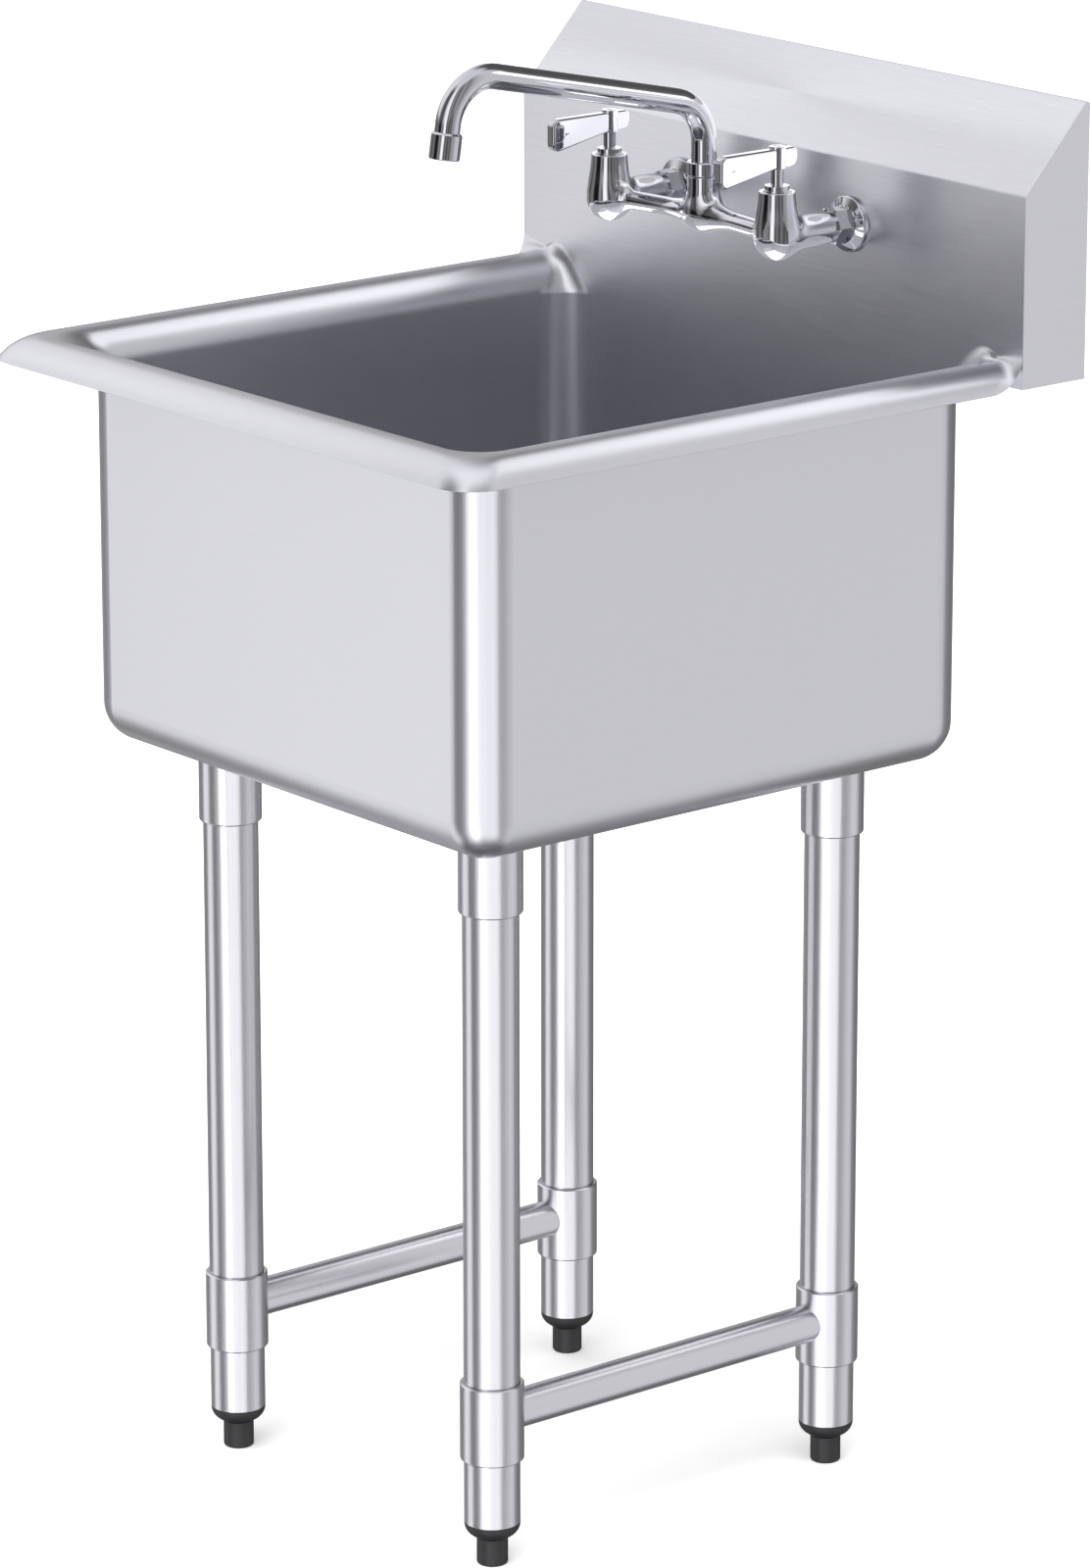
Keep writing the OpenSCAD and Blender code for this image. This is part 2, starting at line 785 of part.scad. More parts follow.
// One pear-shaped valve chamber with its arm to the wall
module valve_chamber(side) {
    flank_h = valve_h - ledge_round;
    run = arm_end_y - arm_thread_l - valve_y;
    at_valve(side) {
        translate([0, 0, -valve_low])
            sphere(valve_r);
        rotate_extrude()
            polygon(concat([[0, -valve_low]], swell(-valve_low, flank_h, valve_r - tuck, valve_top_r),
                oval(valve_top_r - ledge_round, flank_h, ledge_round, ledge_round, 30, 90, 2), [[0, valve_h]]));
        rotate([-90, 0, 0])
            rotate_extrude()
                polygon(concat([[0, 0]], swell(0, arm_flare_l, valve_r - 2 * valve_low, arm_r),
                    [[arm_r, run], [0, run]]));
        rotate([-90, 0, 0])
            cylinder(h = arm_end_y - valve_y, r = arm_r - nut_wall);
    }
}

// The bridge from the middle chamber to one valve, flared at both ends
module bridge(side) {
    flare_z = bridge_l - valve_flare_l;
    translate([0, riser_y, tap_z])
        rotate([0, side * 90, side * bridge_turn])
            union() {
                cylinder(h = bridge_l, r = bridge_r);
                rotate_extrude()
                    polygon(concat([[0, 0]], swell(0, hub_flare_l, hub_flare_r, bridge_r - tuck),
                        [[0, hub_flare_l]]));
                rotate_extrude()
                    polygon(concat([[0, flare_z]], swell(flare_z, bridge_l, bridge_r - tuck, valve_flare_r),
                        [[0, bridge_l]]));
            }
}

// The bell-shaped middle chamber with the throat and the thread for the spout's nut
module middle_chamber() {
    throat_z = hub_h + throat_h;
    translate([0, riser_y, tap_z]) {
        translate([0, 0, hub_lift])
            sphere(hub_r);
        rotate_extrude()
            polygon(concat([[0, hub_lift]], swell(hub_lift, hub_h, hub_r - tuck, throat_r),
                [[throat_r, throat_z], [0, throat_z]]));
        cylinder(h = throat_z + neck_h, r = neck_r);
    }
}

module tap_body() {
    color(chrome)
        difference() {
            union() {
                for (side = [-1, 1]) {
                    valve_chamber(side);
                    bridge(side);
                }
                middle_chamber();
            }
            for (side = [-1, 1]) {
                at_valve(side)
                    translate([0, 0, cart_low])
                        cylinder(h = valve_h - cart_low + cut, r = cart_r);
                at_valve(side)
                    sphere(cavity_r);
                at_valve(side)
                    rotate([-90, 0, 0])
                        cylinder(h = arm_end_y - valve_y + cut, r = bore_r);
                translate([0, riser_y, tap_z])
                    rotate([0, side * 90, side * bridge_turn])
                        cylinder(h = bridge_l, r = waterway_r);
            }
            translate([0, riser_y, neck_top_z - seat_depth])
                cylinder(h = seat_depth + cut, r = seat_r);
            translate([0, riser_y, tap_z])
                cylinder(h = hub_h, r = bore_r);
            translate([0, riser_y, tap_z])
                sphere(cavity_r);
        }
}

module wall_flange(side) {
    r = wall_flange_d / 2;
    bore = shank_body_d / 2 + thread_gap;
    color(chrome)
        translate([side * valve_x, wall_y, tap_z])
            rotate([90, 0, 0])
                rotate_extrude()
                    polygon(concat(
                        [[bore, 0], [r, 0]],
                        oval(r - flange_lip, flange_lip, flange_lip, flange_lip, 0, 55, 4),
                        [[nut_corner_r, flange_depth - flange_lip / 4],
                            [nut_corner_r - flange_lip / 2, flange_depth], [bore, flange_depth]]));
}

// The nut that draws an arm to its shank
module union_nut(side) {
    y0 = wall_y - flange_depth - seat_gap;
    color(chrome)
        translate([side * valve_x, y0, tap_z])
            rotate([90, 0, 0])
                difference() {
                    intersection() {
                        cylinder(h = nut_l, r = nut_corner_r, $fn = 6);
                        rotate_extrude()
                            polygon([[0, 0], [nut_r, 0], [nut_corner_r, nut_wall],
                                [nut_corner_r, nut_l - nut_wall], [nut_r, nut_l], [0, nut_l]]);
                    }
                    translate([0, 0, -cut])
                        cylinder(h = nut_l + 2 * cut, r = arm_r - nut_wall + fit_gap);
                }
}

shank_end_y = arm_end_y + washer_l;

module union_washers() {
    color(rubber)
        for (side = [-1, 1])
            translate([side * valve_x, arm_end_y, tap_z])
                rotate([-90, 0, 0])
                    difference() {
                        cylinder(h = washer_l, r = arm_r - nut_wall - thread_gap);
                        translate([0, 0, -cut])
                            cylinder(h = washer_l + 2 * cut, r = bore_r);
                    }
}

locknut_af = 29;
locknut_t = 6;

// The shank: a thicker threaded body for its lock nut, and the supply's thread behind that
module inlet_shank(side) {
    l = wall_y + inlet_reach - shank_end_y;
    body_y = wall_y - flange_depth;
    color(brass)
        translate([side * valve_x, 0, tap_z])
            rotate([-90, 0, 0])
                difference() {
                    union() {
                        translate([0, 0, shank_end_y])
                            cylinder(h = l, d = inlet_d);
                        translate([0, 0, body_y])
                            cylinder(h = back_y + locknut_t - body_y, d = shank_body_d);
                    }
                    translate([0, 0, shank_end_y - cut])
                        cylinder(h = l + 2 * cut, r = bore_r);
                }
}

module shank_locknuts() {
    color(brass)
        for (side = [-1, 1])
            translate([side * valve_x, back_y, tap_z])
                rotate([-90, 0, 0])
                    difference() {
                        cylinder(h = locknut_t, d = locknut_af / cos(30), $fn = 6);
                        translate([0, 0, -cut])
                            cylinder(h = locknut_t + 2 * cut, d = shank_body_d + 2 * fit_gap);
                    }
}

// Valves and levers
bonnet_r = 10.6;
bonnet_top_r = 9.2;
bonnet_rise = 4.2;
bonnet_step = 0.8;
stem_r = 4.6;
stem_gap = 0.05;
stem_low = 8;
stem_foot_r = 6;
stem_foot_h = 4;
spline_r = 3.6;
lever_low_z = 49.5;
blade_gap = 1.2;
blade_top = 1.6;
blade_root_h = 15;
blade_edge = 1.8;
tip_round = 6;
root_round = 4;
heel_round = 7.4;
screw_head_r = 3.8;
screw_head_h = 2.4;
screw_shaft_r = 2;
screw_slot_w = 1;
screw_slot_h = 1;

module bonnet(side) {
    color(chrome)
        at_valve(side)
            translate([0, 0, valve_h])
                difference() {
                    union() {
                        cylinder(h = bonnet_step, r = bonnet_r);
                        cylinder(h = bonnet_rise, r = bonnet_top_r);
                    }
                    translate([0, 0, -cut])
                        cylinder(h = bonnet_rise + 2 * cut, r = stem_r + stem_gap);
                }
}

module cartridge(side) {
    color(nylon)
        at_valve(side)
            translate([0, 0, cart_low])
                difference() {
                    cylinder(h = valve_h - cart_low, r = cart_r - cart_gap);
                    translate([0, 0, stem_low - stem_foot_h])
                        cylinder(h = stem_foot_h + seat_gap, r = stem_foot_r + stem_gap);
                    translate([0, 0, stem_low - cut])
                        cylinder(h = valve_h, r = stem_r + stem_gap);
                    translate([0, 0, -cut])
                        cylinder(h = stem_low, r = waterway_r - cart_gap);
                }
}

module valve_stem(side) {
    rod_low = cart_low + stem_low;
    color(chrome)
        at_valve(side)
            difference() {
                union() {
                    translate([0, 0, rod_low - stem_foot_h + seat_gap / 2])
                        cylinder(h = stem_foot_h, r = stem_foot_r);
                    translate([0, 0, rod_low])
                        cylinder(h = lever_low_z - rod_low - seat_gap, r = stem_r);
                    translate([0, 0, lever_low_z - cut])
                        cylinder(h = lever_hub_h - blade_gap - screw_head_h, r = spline_r);
                }
                translate([0, 0, lever_low_z])
                    cylinder(h = lever_hub_h, r = screw_shaft_r + fit_gap);
            }
}

// One corner of a lever's blade, with rounded edges: a round pad that stands across x
module blade_corner(y, z, r) {
    for (side = [-1, 1])
        translate([side * (lever_t / 2 - blade_edge), y, z])
            rotate([0, 90, 0])
                rotate_extrude($fn = 28)
                    translate([r - blade_edge, 0])
                        circle(blade_edge, $fn = 14);
}

// A lever's blade, deepest at its tip, and the short tail behind the hub. z is 0 at the hub's foot.
module blade() {
    top = lever_hub_h - blade_top;
    root = top - blade_root_h;
    hull() {
        blade_corner(tip_round - lever_l, top - tip_round, tip_round);
        blade_corner(tip_round - lever_l, top - lever_tip_h + tip_round, tip_round);
        blade_corner(0, top - root_round, root_round);
        blade_corner(-lever_hub_d / 2, root + root_round, root_round);
    }
    hull() {
        blade_corner(0, top - root_round, root_round);
        blade_corner(0, root + root_round, root_round);
        blade_corner(lever_tail - root_round, top - root_round, root_round);
        blade_corner(lever_tail - heel_round, root + heel_round, heel_round);
    }
}

module lever(side) {
    color(chrome)
        at_valve(side)
            translate([0, 0, lever_low_z])
                difference() {
                    union() {
                        cylinder(h = lever_hub_h, r = lever_hub_d / 2);
                        blade();
                    }
                    translate([0, 0, -cut])
                        cylinder(h = lever_hub_h - blade_gap - screw_head_h + cut, r = spline_r + fit_gap);
                    translate([0, 0, -cut])
                        cylinder(h = lever_hub_h, r = screw_shaft_r + fit_gap);
                    translate([0, 0, lever_hub_h - screw_head_h])
                        cylinder(h = screw_head_h + cut, r = screw_head_r + fit_gap);
                }
}

module lever_screw(side) {
    color(dark_steel)
        at_valve(side)
            translate([0, 0, lever_low_z])
                difference() {
                    union() {
                        translate([0, 0, lever_hub_h - screw_head_h])
                            cylinder(h = screw_head_h, r = screw_head_r);
                        translate([0, 0, fit_gap])
                            cylinder(h = lever_hub_h - screw_head_h, r = screw_shaft_r);
                    }
                    translate([-screw_head_r, -screw_slot_w / 2, lever_hub_h - screw_slot_h])
                        cube([2 * screw_head_r, screw_slot_w, screw_slot_h + cut]);
                }
}

// Spout
spout_r = spout_d / 2;
tail_r = 8;
tail_low = 2;
collar_low = 0.4;
nut_h = 10.5;
spout_nut_r = 12.6;
oring_r = 0.8;
oring_mid_r = seat_r - oring_r;
oring_rise = [5, 10];
bend_lap = 0.5;
bend_swell = 0.1;
insert_depth = 2;
insert_h = 8;
neck_top_z = tap_z + hub_h + throat_h + neck_h;
riser_low_z = neck_top_z + collar_low;
bend_z = tap_z + riser_h;

// Lays its children, drawn up the z axis, on the spout's path: first at the end of the riser bend
module past_riser_bend() {
    translate([0, riser_y - bend_in_r, bend_z])
        rotate([90 - spout_pitch, 0, 0])
            translate([0, bend_in_r, 0])
                children();
}

module past_run() {
    past_riser_bend()
        translate([0, 0, spout_run])
            children();
}

module past_outlet_bend() {
    past_run()
        translate([0, -bend_out_r, 0])
            rotate([outlet_turn, 0, 0])
                translate([0, bend_out_r, 0])
                    children();
}

// A bend of the spout, starting at the origin up the z axis and turning towards -y
module bend(radius, turn, r) {
    translate([0, -radius, 0])
        rotate([0, -90, 0])
            rotate([0, 0, 90])
                mirror([0, 1, 0])
                    rotate_extrude(angle = turn)
                        translate([radius, 0])
                            circle(r);
}

// The spout's whole path as a rod of radius r, from the height low up to its outlet.
// The bends swell by a hair, so that the straight stretches end inside them.
module spout_rod(r, low, over) {
    translate([0, riser_y, low])
        cylinder(h = bend_z - low + bend_lap, r = r);
    translate([0, riser_y, bend_z])
        bend(bend_in_r, 90 - spout_pitch, r + bend_swell);
    past_riser_bend()
        translate([0, 0, -bend_lap])
            cylinder(h = spout_run + 2 * bend_lap, r = r);
    past_run()
        bend(bend_out_r, outlet_turn, r + bend_swell);
    past_outlet_bend()
        translate([0, 0, -bend_lap])
            cylinder(h = spout_tail - insert_depth + bend_lap + over, r = r);
}

module spout() {
    color(chrome)
        difference() {
            union() {
                spout_rod(spout_r, riser_low_z, 0);
                translate([0, riser_y, neck_top_z - seat_depth + tail_low])
                    cylinder(h = riser_low_z - neck_top_z + seat_depth - tail_low + cut, r = tail_r);
            }
            spout_rod(spout_r - spout_wall, riser_low_z + 2 * spout_wall, cut);
            translate([0, riser_y, neck_top_z - seat_depth])
                cylinder(h = seat_depth + riser_low_z - neck_top_z + 2 * spout_wall + cut, r = bore_r);
            for (rise = oring_rise)
                translate([0, riser_y, neck_top_z - seat_depth + rise])
                    rotate_extrude()
                        translate([oring_mid_r, 0])
                            circle(oring_r);
        }
}

module spout_orings() {
    color(rubber)
        for (rise = oring_rise)
            translate([0, riser_y, neck_top_z - seat_depth + rise])
                rotate_extrude()
                    translate([oring_mid_r, 0])
                        circle(oring_r - fit_gap);
}

module spout_nut() {
    z0 = tap_z + hub_h + throat_h + seat_gap;
    bevel = nut_wall / 2;
    color(chrome)
        translate([0, riser_y, z0])
            difference() {
                rotate_extrude()
                    polygon([[0, 0], [spout_nut_r - bevel, 0], [spout_nut_r, bevel],
                        [spout_nut_r, nut_h - bevel], [spout_nut_r - bevel, nut_h], [0, nut_h]]);
                translate([0, 0, -cut])
                    cylinder(h = nut_h + 2 * cut, r = spout_r + seat_gap);
                translate([0, 0, -cut])
                    cylinder(h = neck_h + cut, r = neck_r + fit_gap);
            }
}

module aerator() {
    r = aerator_d / 2;
    color(chrome)
        past_outlet_bend()
            translate([0, 0, spout_tail - aerator_h])
                difference() {
                    rotate_extrude()
                        polygon([[0, 0], [r - nut_wall, 0], [r, nut_wall], [r, aerator_h - nut_wall / 2],
                            [r - nut_wall / 2, aerator_h], [0, aerator_h]]);
                    translate([0, 0, -cut])
                        cylinder(h = aerator_h + 2 * cut, r = spout_r + fit_gap);
                }
}

module aerator_insert() {
    r = spout_r - spout_wall - cart_gap;
    color(nylon)
        past_outlet_bend()
            translate([0, 0, spout_tail - insert_depth - insert_h])
                difference() {
                    cylinder(h = insert_h, r = r);
                    for (ring = [1:2])
                        for (i = [0:6 * ring - 1])
                            rotate([0, 0, 60 * i / ring])
                                translate([r * ring * 0.36, 0, -cut])
                                    cylinder(h = insert_h + 2 * cut, r = r / 11);
                }
}

bowl();
rolled_rim();
backsplash();
backsplash_end(-1);  // backsplash_end_left
backsplash_end(1);  // backsplash_end_right
leg_socket(-1, -1);  // leg_socket_front_left
leg_socket(1, -1);  // leg_socket_front_right
leg_socket(-1, 1);  // leg_socket_back_left
leg_socket(1, 1);  // leg_socket_back_right
socket_set_screws();
leg(-1, -1);  // leg_front_left
leg(1, -1);  // leg_front_right
leg(-1, 1);  // leg_back_left
leg(1, 1);  // leg_back_right
rail_collar(-1, -1);  // rail_collar_front_left
rail_collar(1, -1);  // rail_collar_front_right
rail_collar(-1, 1);  // rail_collar_back_left
rail_collar(1, 1);  // rail_collar_back_right
collar_set_screws();
side_rail(-1);  // side_rail_left
side_rail(1);  // side_rail_right
foot_cap(-1, -1);  // foot_cap_front_left
foot_cap(1, -1);  // foot_cap_front_right
foot_cap(-1, 1);  // foot_cap_back_left
foot_cap(1, 1);  // foot_cap_back_right
foot(-1, -1);  // foot_front_left
foot(1, -1);  // foot_front_right
foot(-1, 1);  // foot_back_left
foot(1, 1);  // foot_back_right
strainer_body();
strainer_gasket();
strainer_washer();
strainer_locknut();
strainer_basket();
basket_seal();
tap_body();
wall_flange(-1);  // wall_flange_left
wall_flange(1);  // wall_flange_right
union_nut(-1);  // union_nut_left
union_nut(1);  // union_nut_right
union_washers();
inlet_shank(-1);  // inlet_shank_left
inlet_shank(1);  // inlet_shank_right
shank_locknuts();
bonnet(-1);  // bonnet_left
bonnet(1);  // bonnet_right
cartridge(-1);  // cartridge_left
cartridge(1);  // cartridge_right
valve_stem(-1);  // valve_stem_left
valve_stem(1);  // valve_stem_right
lever(-1);  // lever_left
lever(1);  // lever_right
lever_screw(-1);  // lever_screw_left
lever_screw(1);  // lever_screw_right
spout();
spout_nut();
spout_orings();
aerator();
aerator_insert();
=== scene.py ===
import math

import bpy
import numpy as np
from bpy.props import FloatProperty, FloatVectorProperty, IntProperty, PointerProperty
from mathutils import Matrix, Vector


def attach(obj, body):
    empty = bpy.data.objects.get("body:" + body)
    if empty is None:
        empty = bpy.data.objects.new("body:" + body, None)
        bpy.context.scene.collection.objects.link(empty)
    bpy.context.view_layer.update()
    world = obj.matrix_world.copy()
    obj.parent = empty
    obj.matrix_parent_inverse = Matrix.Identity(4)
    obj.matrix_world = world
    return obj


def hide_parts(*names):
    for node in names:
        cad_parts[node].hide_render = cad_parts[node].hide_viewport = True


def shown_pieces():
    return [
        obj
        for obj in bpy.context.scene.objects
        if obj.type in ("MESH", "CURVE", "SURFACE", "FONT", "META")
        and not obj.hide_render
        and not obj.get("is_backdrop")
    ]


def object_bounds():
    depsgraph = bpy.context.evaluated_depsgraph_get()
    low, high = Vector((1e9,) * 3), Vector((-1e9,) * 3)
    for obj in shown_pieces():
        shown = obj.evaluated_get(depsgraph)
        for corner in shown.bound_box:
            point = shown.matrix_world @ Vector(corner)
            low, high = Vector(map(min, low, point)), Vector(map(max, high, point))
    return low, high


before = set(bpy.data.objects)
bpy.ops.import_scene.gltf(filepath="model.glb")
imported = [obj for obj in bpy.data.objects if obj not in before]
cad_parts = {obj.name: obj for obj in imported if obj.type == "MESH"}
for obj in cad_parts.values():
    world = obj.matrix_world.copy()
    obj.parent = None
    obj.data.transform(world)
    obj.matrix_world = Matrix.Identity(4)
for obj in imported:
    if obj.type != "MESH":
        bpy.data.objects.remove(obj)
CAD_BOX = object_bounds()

bl_info = {
    "name": "Utility laundry sink",
    "version": (1, 0, 0),
    "blender": (4, 5, 0),
    "location": "View3D > Sidebar > Sink",
    "description": "Dresses the packed laundry sink and its tap, and sets up the studio",
    "category": "Object",
}

MM = 0.001
SIDES = ("left", "right")
CORNERS = ("front_left", "front_right", "back_left", "back_right")

# Noise cells per metre along each axis: broad clouds in a finish, and the fine grain that isn't brushed
STEEL_CLOUDS = (9.0, 9.0, 9.0)
CHROME_CLOUDS = (60.0, 60.0, 60.0)
CHROME_GRAIN = (400.0, 400.0, 400.0)
MOULDED_CLOUDS = (40.0, 40.0, 40.0)
MOULDED_GRAIN = (1600.0, 1600.0, 1600.0)
FLOOR_CLOUDS = (0.8, 0.8, 0.8)

# Share of a brushed steel's tone that its lines give, and how far its clouds change its roughness
LINE_SHARE = 0.75
CLOUD_SPREAD = 0.04

# Heights of the bumps that full strength gives
LINE_HEIGHT = 0.4 * MM
GRAIN_HEIGHT = 0.3 * MM

# Edges turned further than this stay crisp
CRISP = math.radians(40)

# Growth of the rim's cove, the sheet's least thickness in it as a share, and a hair's breadth
COVE_SHARES = (1.96, -3.87, 2.91)
THINNEST_SHARE = 0.3
HAIR = 0.05 * MM

# Places of extra rings along the rim's straight stretches and the spout's, close to their ends
STRAIGHT_SHARES = (0.01, 0.1, 0.3, 0.5, 0.7, 0.9, 0.99)
RUN_SHARES = (0.02, 0.5, 0.98, 1.0)

# Camera's film in mm, how far it sees and the floor's half width
FILM_HEIGHT = 36.0
VIEW_REACH = 60.0
FLOOR_REACH = 12.0

# Brightness round the compass, in degrees from the front towards +X: level with the sink, then above it
LEVEL_LIGHT = ((-180, 0.2), (-128, 0.2), (-105, 0.45), (-84, 0.2), (-74, 0.35), (-66, 0.08), (-52, 0.25),
               (-42, 0.3), (-34, 0.06), (-26, 0.01), (-8, 0.02), (-3, 0.4), (8, 0.3), (14, 0.15), (19, 1.6),
               (31, 1.7), (37, 0.5), (42, 0.04), (50, 0.35), (60, 0.08), (72, 0.3), (82, 0.12), (92, 0.5),
               (104, 0.5), (116, 0.7), (124, 0.9), (150, 0.85), (158, 0.3), (180, 0.25))
SKY_LIGHT = ((-180, 0.12), (-134, 0.14), (-116, 1.0), (-68, 1.25), (-50, 1.0), (-36, 0.2), (-8, 0.1),
             (2, 0.6), (20, 1.5), (34, 1.5), (42, 0.2), (54, 0.5), (64, 0.15), (84, 0.5), (96, 0.3),
             (112, 0.7), (126, 0.9), (146, 0.9), (154, 0.2), (180, 0.12))
TOP_COLOUR = (1.0, 1.0, 1.02)
GROUND_COLOUR = (0.03, 0.03, 0.035)

# Sines of the heights, or depths, over which the light passes to the sky's, the top's and the ground's
SKY_BAND = (0.02, 0.22)
TOP_BAND = (0.82, 0.95)
GROUND_BAND = (0.75, 0.93)

# Soft boxes: name, what sees it, degrees round the compass and above level, size in metres, glow
BOX_DISTANCE = 4.0
BOX_AIM = (0.0, 0.0, 0.6)
SOFT_BOXES = (
    ("front_box", "steel", -46, -20, (2.1, 5.2), 0.95), ("dark_box", "steel", -12, -20, (1.6, 5.2), 0.22),
    ("near_box", "steel", 17, -20, (1.5, 5.2), 1.15), ("side_box", "steel", 60, -20, (3.4, 5.2), 1.15),
    ("left_box", "steel", -134, 4, (1.8, 3.0), 0.12), ("back_box", "steel", 180, 51, (2.8, 1.8), 1.4),
    ("top_box", "steel", 0, 90, (3.0, 3.0), 0.3), ("strip_box", "tap", 140, 29, (1.0, 1.3), 1.5),
)

# Small lights close to the tap, with their places: on the backsplash, and under the tap facing up
CLOSE_LIGHTS = (
    ("lever_glow", "lever", 180, 0, (0.54, 0.15), 1.2, (0.0, 0.2245, 0.98)),
    ("wall_glow", "tap", 180, 0, (0.54, 0.08), 0.7, (0.0, 0.2245, 1.015)),
    ("ledge_glow", "tap", 0, -90, (0.3, 0.12), 0.5, (0.0, 0.155, 0.914)),
    ("left_gleam", "tap", 0, -90, (0.03, 0.03), 2.0, (-0.09, 0.145, 0.905)),
    ("right_gleam", "tap", 0, -90, (0.03, 0.03), 2.0, (0.1, 0.145, 0.905)),
    ("middle_gleam", "tap", 0, -90, (0.03, 0.02), 1.5, (0.005, 0.155, 0.905)),
)


def length(name, description, mm):
    return FloatProperty(name=name, description=description, default=mm * MM, unit="LENGTH")


def share(name, description, value):
    return FloatProperty(name=name, description=description, default=value, min=0.0, max=1.0,
                         subtype="FACTOR")


def rotation(name, description, degrees):
    return FloatProperty(name=name, description=description, default=math.radians(degrees), unit="ROTATION")


def tint(name, description, rgb):
    return FloatVectorProperty(name=name, description=description, default=rgb, size=3, min=0.0, max=1.0,
                               subtype="COLOR")


class RimSizes(bpy.types.PropertyGroup):
    """Section and plan of the rolled rim"""
    height: length("Height", "Height of the crown above the floor", 862.0)
    sheet: length("Sheet", "Thickness of the steel sheet", 1.2)
    roll_in: length("Inner roll", "Radius of the roll from the wall up to the crown", 25.2)
    crown: length("Crown", "Width of the flat crown", 3.7)
    roll_out: length("Outer roll", "Radius that shapes the outer fall", 38.0)
    drop: length("Drop", "Fall from the crown to the lower edge", 17.2)
    reach: length("Reach", "How far the rim reaches out from the bowl's wall", 52.0)
    corner: length("Corner", "Radius of the rim's corners in plan", 29.0)
    bowl_corner: length("Bowl corner", "Outside radius of the bowl's upright corners", 31.5)
    cove_crown: length("Cove at the crown", "Rise of the cove where the crown meets the backsplash", 4.5)
    cove_edge: length("Cove at the edge", "Rise of the cove at the rim's outer edge", 10.7)
    splash_depth: length("Backsplash depth", "From the wall to the backsplash's face", 61.5)
    seam_drop: length("Seam", "From the roll's centre down to the weld on the bowl", 1.8)
    steps: IntProperty(name="Steps", description="Rings in each quarter turn", default=20, min=4, max=64)


class TapSizes(bpy.types.PropertyGroup):
    """Sizes of the tap's cast body, its spout and its levers"""
    span: length("Span", "Distance between the two supplies", 190.5)
    axis_height: length("Height", "Supplies' axis above the floor", 938.0)
    out: length("Valves", "From the backsplash to the valves' axes", 70.8)
    riser_out: length("Riser", "From the backsplash to the spout's axis", 59.6)
    arm_end: length("Arms' ends", "From the backsplash to the arms' ends", 18.6)
    arm_r: length("Arm", "Radius of the arms to the wall", 12.2)
    arm_root_r: length("Arm's root", "Radius of an arm at its valve", 14.0)
    arm_flare: length("Arm's flare", "Length over which an arm narrows", 30.0)
    thread: length("Thread", "Length of an arm's thread", 5.0)
    thread_depth: length("Thread depth", "Step down to an arm's thread", 1.4)
    valve_r: length("Valve", "Radius of a valve chamber's belly", 17.0)
    valve_top_r: length("Valve's top", "Radius of a valve chamber's top", 13.7)
    valve_low: length("Belly", "Fall of the belly's centre below the supplies' axis", 1.0)
    valve_h: length("Valve's height", "Top of a valve chamber above the supplies' axis", 33.0)
    ledge: length("Ledge", "Rounding of the chambers' top edges", 1.0)
    bridge_r: length("Bridge", "Radius of the bridge", 7.1)
    hub_flare_r: length("Hub's flare", "Radius of the bridge at the middle chamber", 12.2)
    hub_flare: length("Hub's flare length", "Length of the flare at the middle chamber", 38.0)
    valve_flare_r: length("Valve's flare", "Radius of the bridge at a valve", 12.5)
    valve_flare: length("Valve's flare length", "Length of the flare at a valve", 26.0)
    hub_r: length("Middle chamber", "Radius of the middle chamber", 14.4)
    hub_lift: length("Middle's lift", "Rise of the middle chamber's centre", 2.0)
    hub_h: length("Bell", "Height of the bell above the supplies' axis", 19.0)
    throat_r: length("Throat", "Radius of the throat under the spout's nut", 12.0)
    throat_h: length("Throat's height", "Height of the throat", 10.0)
    neck_r: length("Neck", "Radius of the thread for the spout's nut", 10.2)
    neck_h: length("Neck's height", "Height of the thread for the spout's nut", 5.0)
    blend: length("Blend", "Width of the cast blends", 9.0)
    cartridge_r: length("Cartridge bore", "Radius of the cartridges' bores", 9.0)
    cartridge_low: length("Cartridge's foot", "Foot of the cartridge bores above the axis", 5.0)
    bore_r: length("Bore", "Radius of the water's bores", 6.0)
    waterway_r: length("Waterway", "Radius of the bore through the bridge", 4.5)
    cavity_r: length("Cavity", "Radius of the round hollows in the chambers", 7.8)
    seat_r: length("Seat", "Radius of the bore for the spout's tail", 8.4)
    seat_depth: length("Seat's depth", "Depth of the bore for the spout's tail", 16.0)
    grain: length("Mesh size", "Cell of the cast body's mesh", 0.8)


class SpoutSizes(bpy.types.PropertyGroup):
    """Sizes of the swivel spout"""
    tube_r: length("Tube", "Outside radius of the tube", 9.4)
    wall: length("Wall", "Thickness of the tube's wall", 1.0)
    collar: length("Collar gap", "Running gap above the neck", 0.4)
    riser: length("Riser", "Height of the first bend above the supplies' axis", 54.8)
    bend_in: length("Riser bend", "Radius of the bend at the riser", 33.7)
    bend_out: length("Outlet bend", "Radius of the bend at the outlet", 36.5)
    run: length("Run", "Length of the straight run", 174.9)
    tail: length("Tail", "Straight stretch down to the aerator's seat", 22.9)
    pitch: rotation("Pitch", "Rise of the run", 12.3)
    turn: rotation("Outlet turn", "Turn of the outlet bend", 93.8)
    foot_r: length("Foot", "Radius of the part inside the body", 8.0)
    foot_gap: length("Foot gap", "Gap between the foot and the floor of its seat", 2.0)
    groove_r: length("Groove", "Radius at the bottom of the seals' grooves", 6.8)
    groove_h: length("Groove's height", "Height of a seal's groove", 1.8)
    groove_low: length("Lower seal", "Height of the lower seal above the seat's floor", 5.0)
    groove_high: length("Upper seal", "Height of the upper seal above the seat's floor", 10.0)
    sides: IntProperty(name="Sides", description="Points round the tube", default=64, min=12, max=128)
    bend_steps: IntProperty(name="Bend steps", description="Stations in each bend", default=24, min=4,
                            max=96)


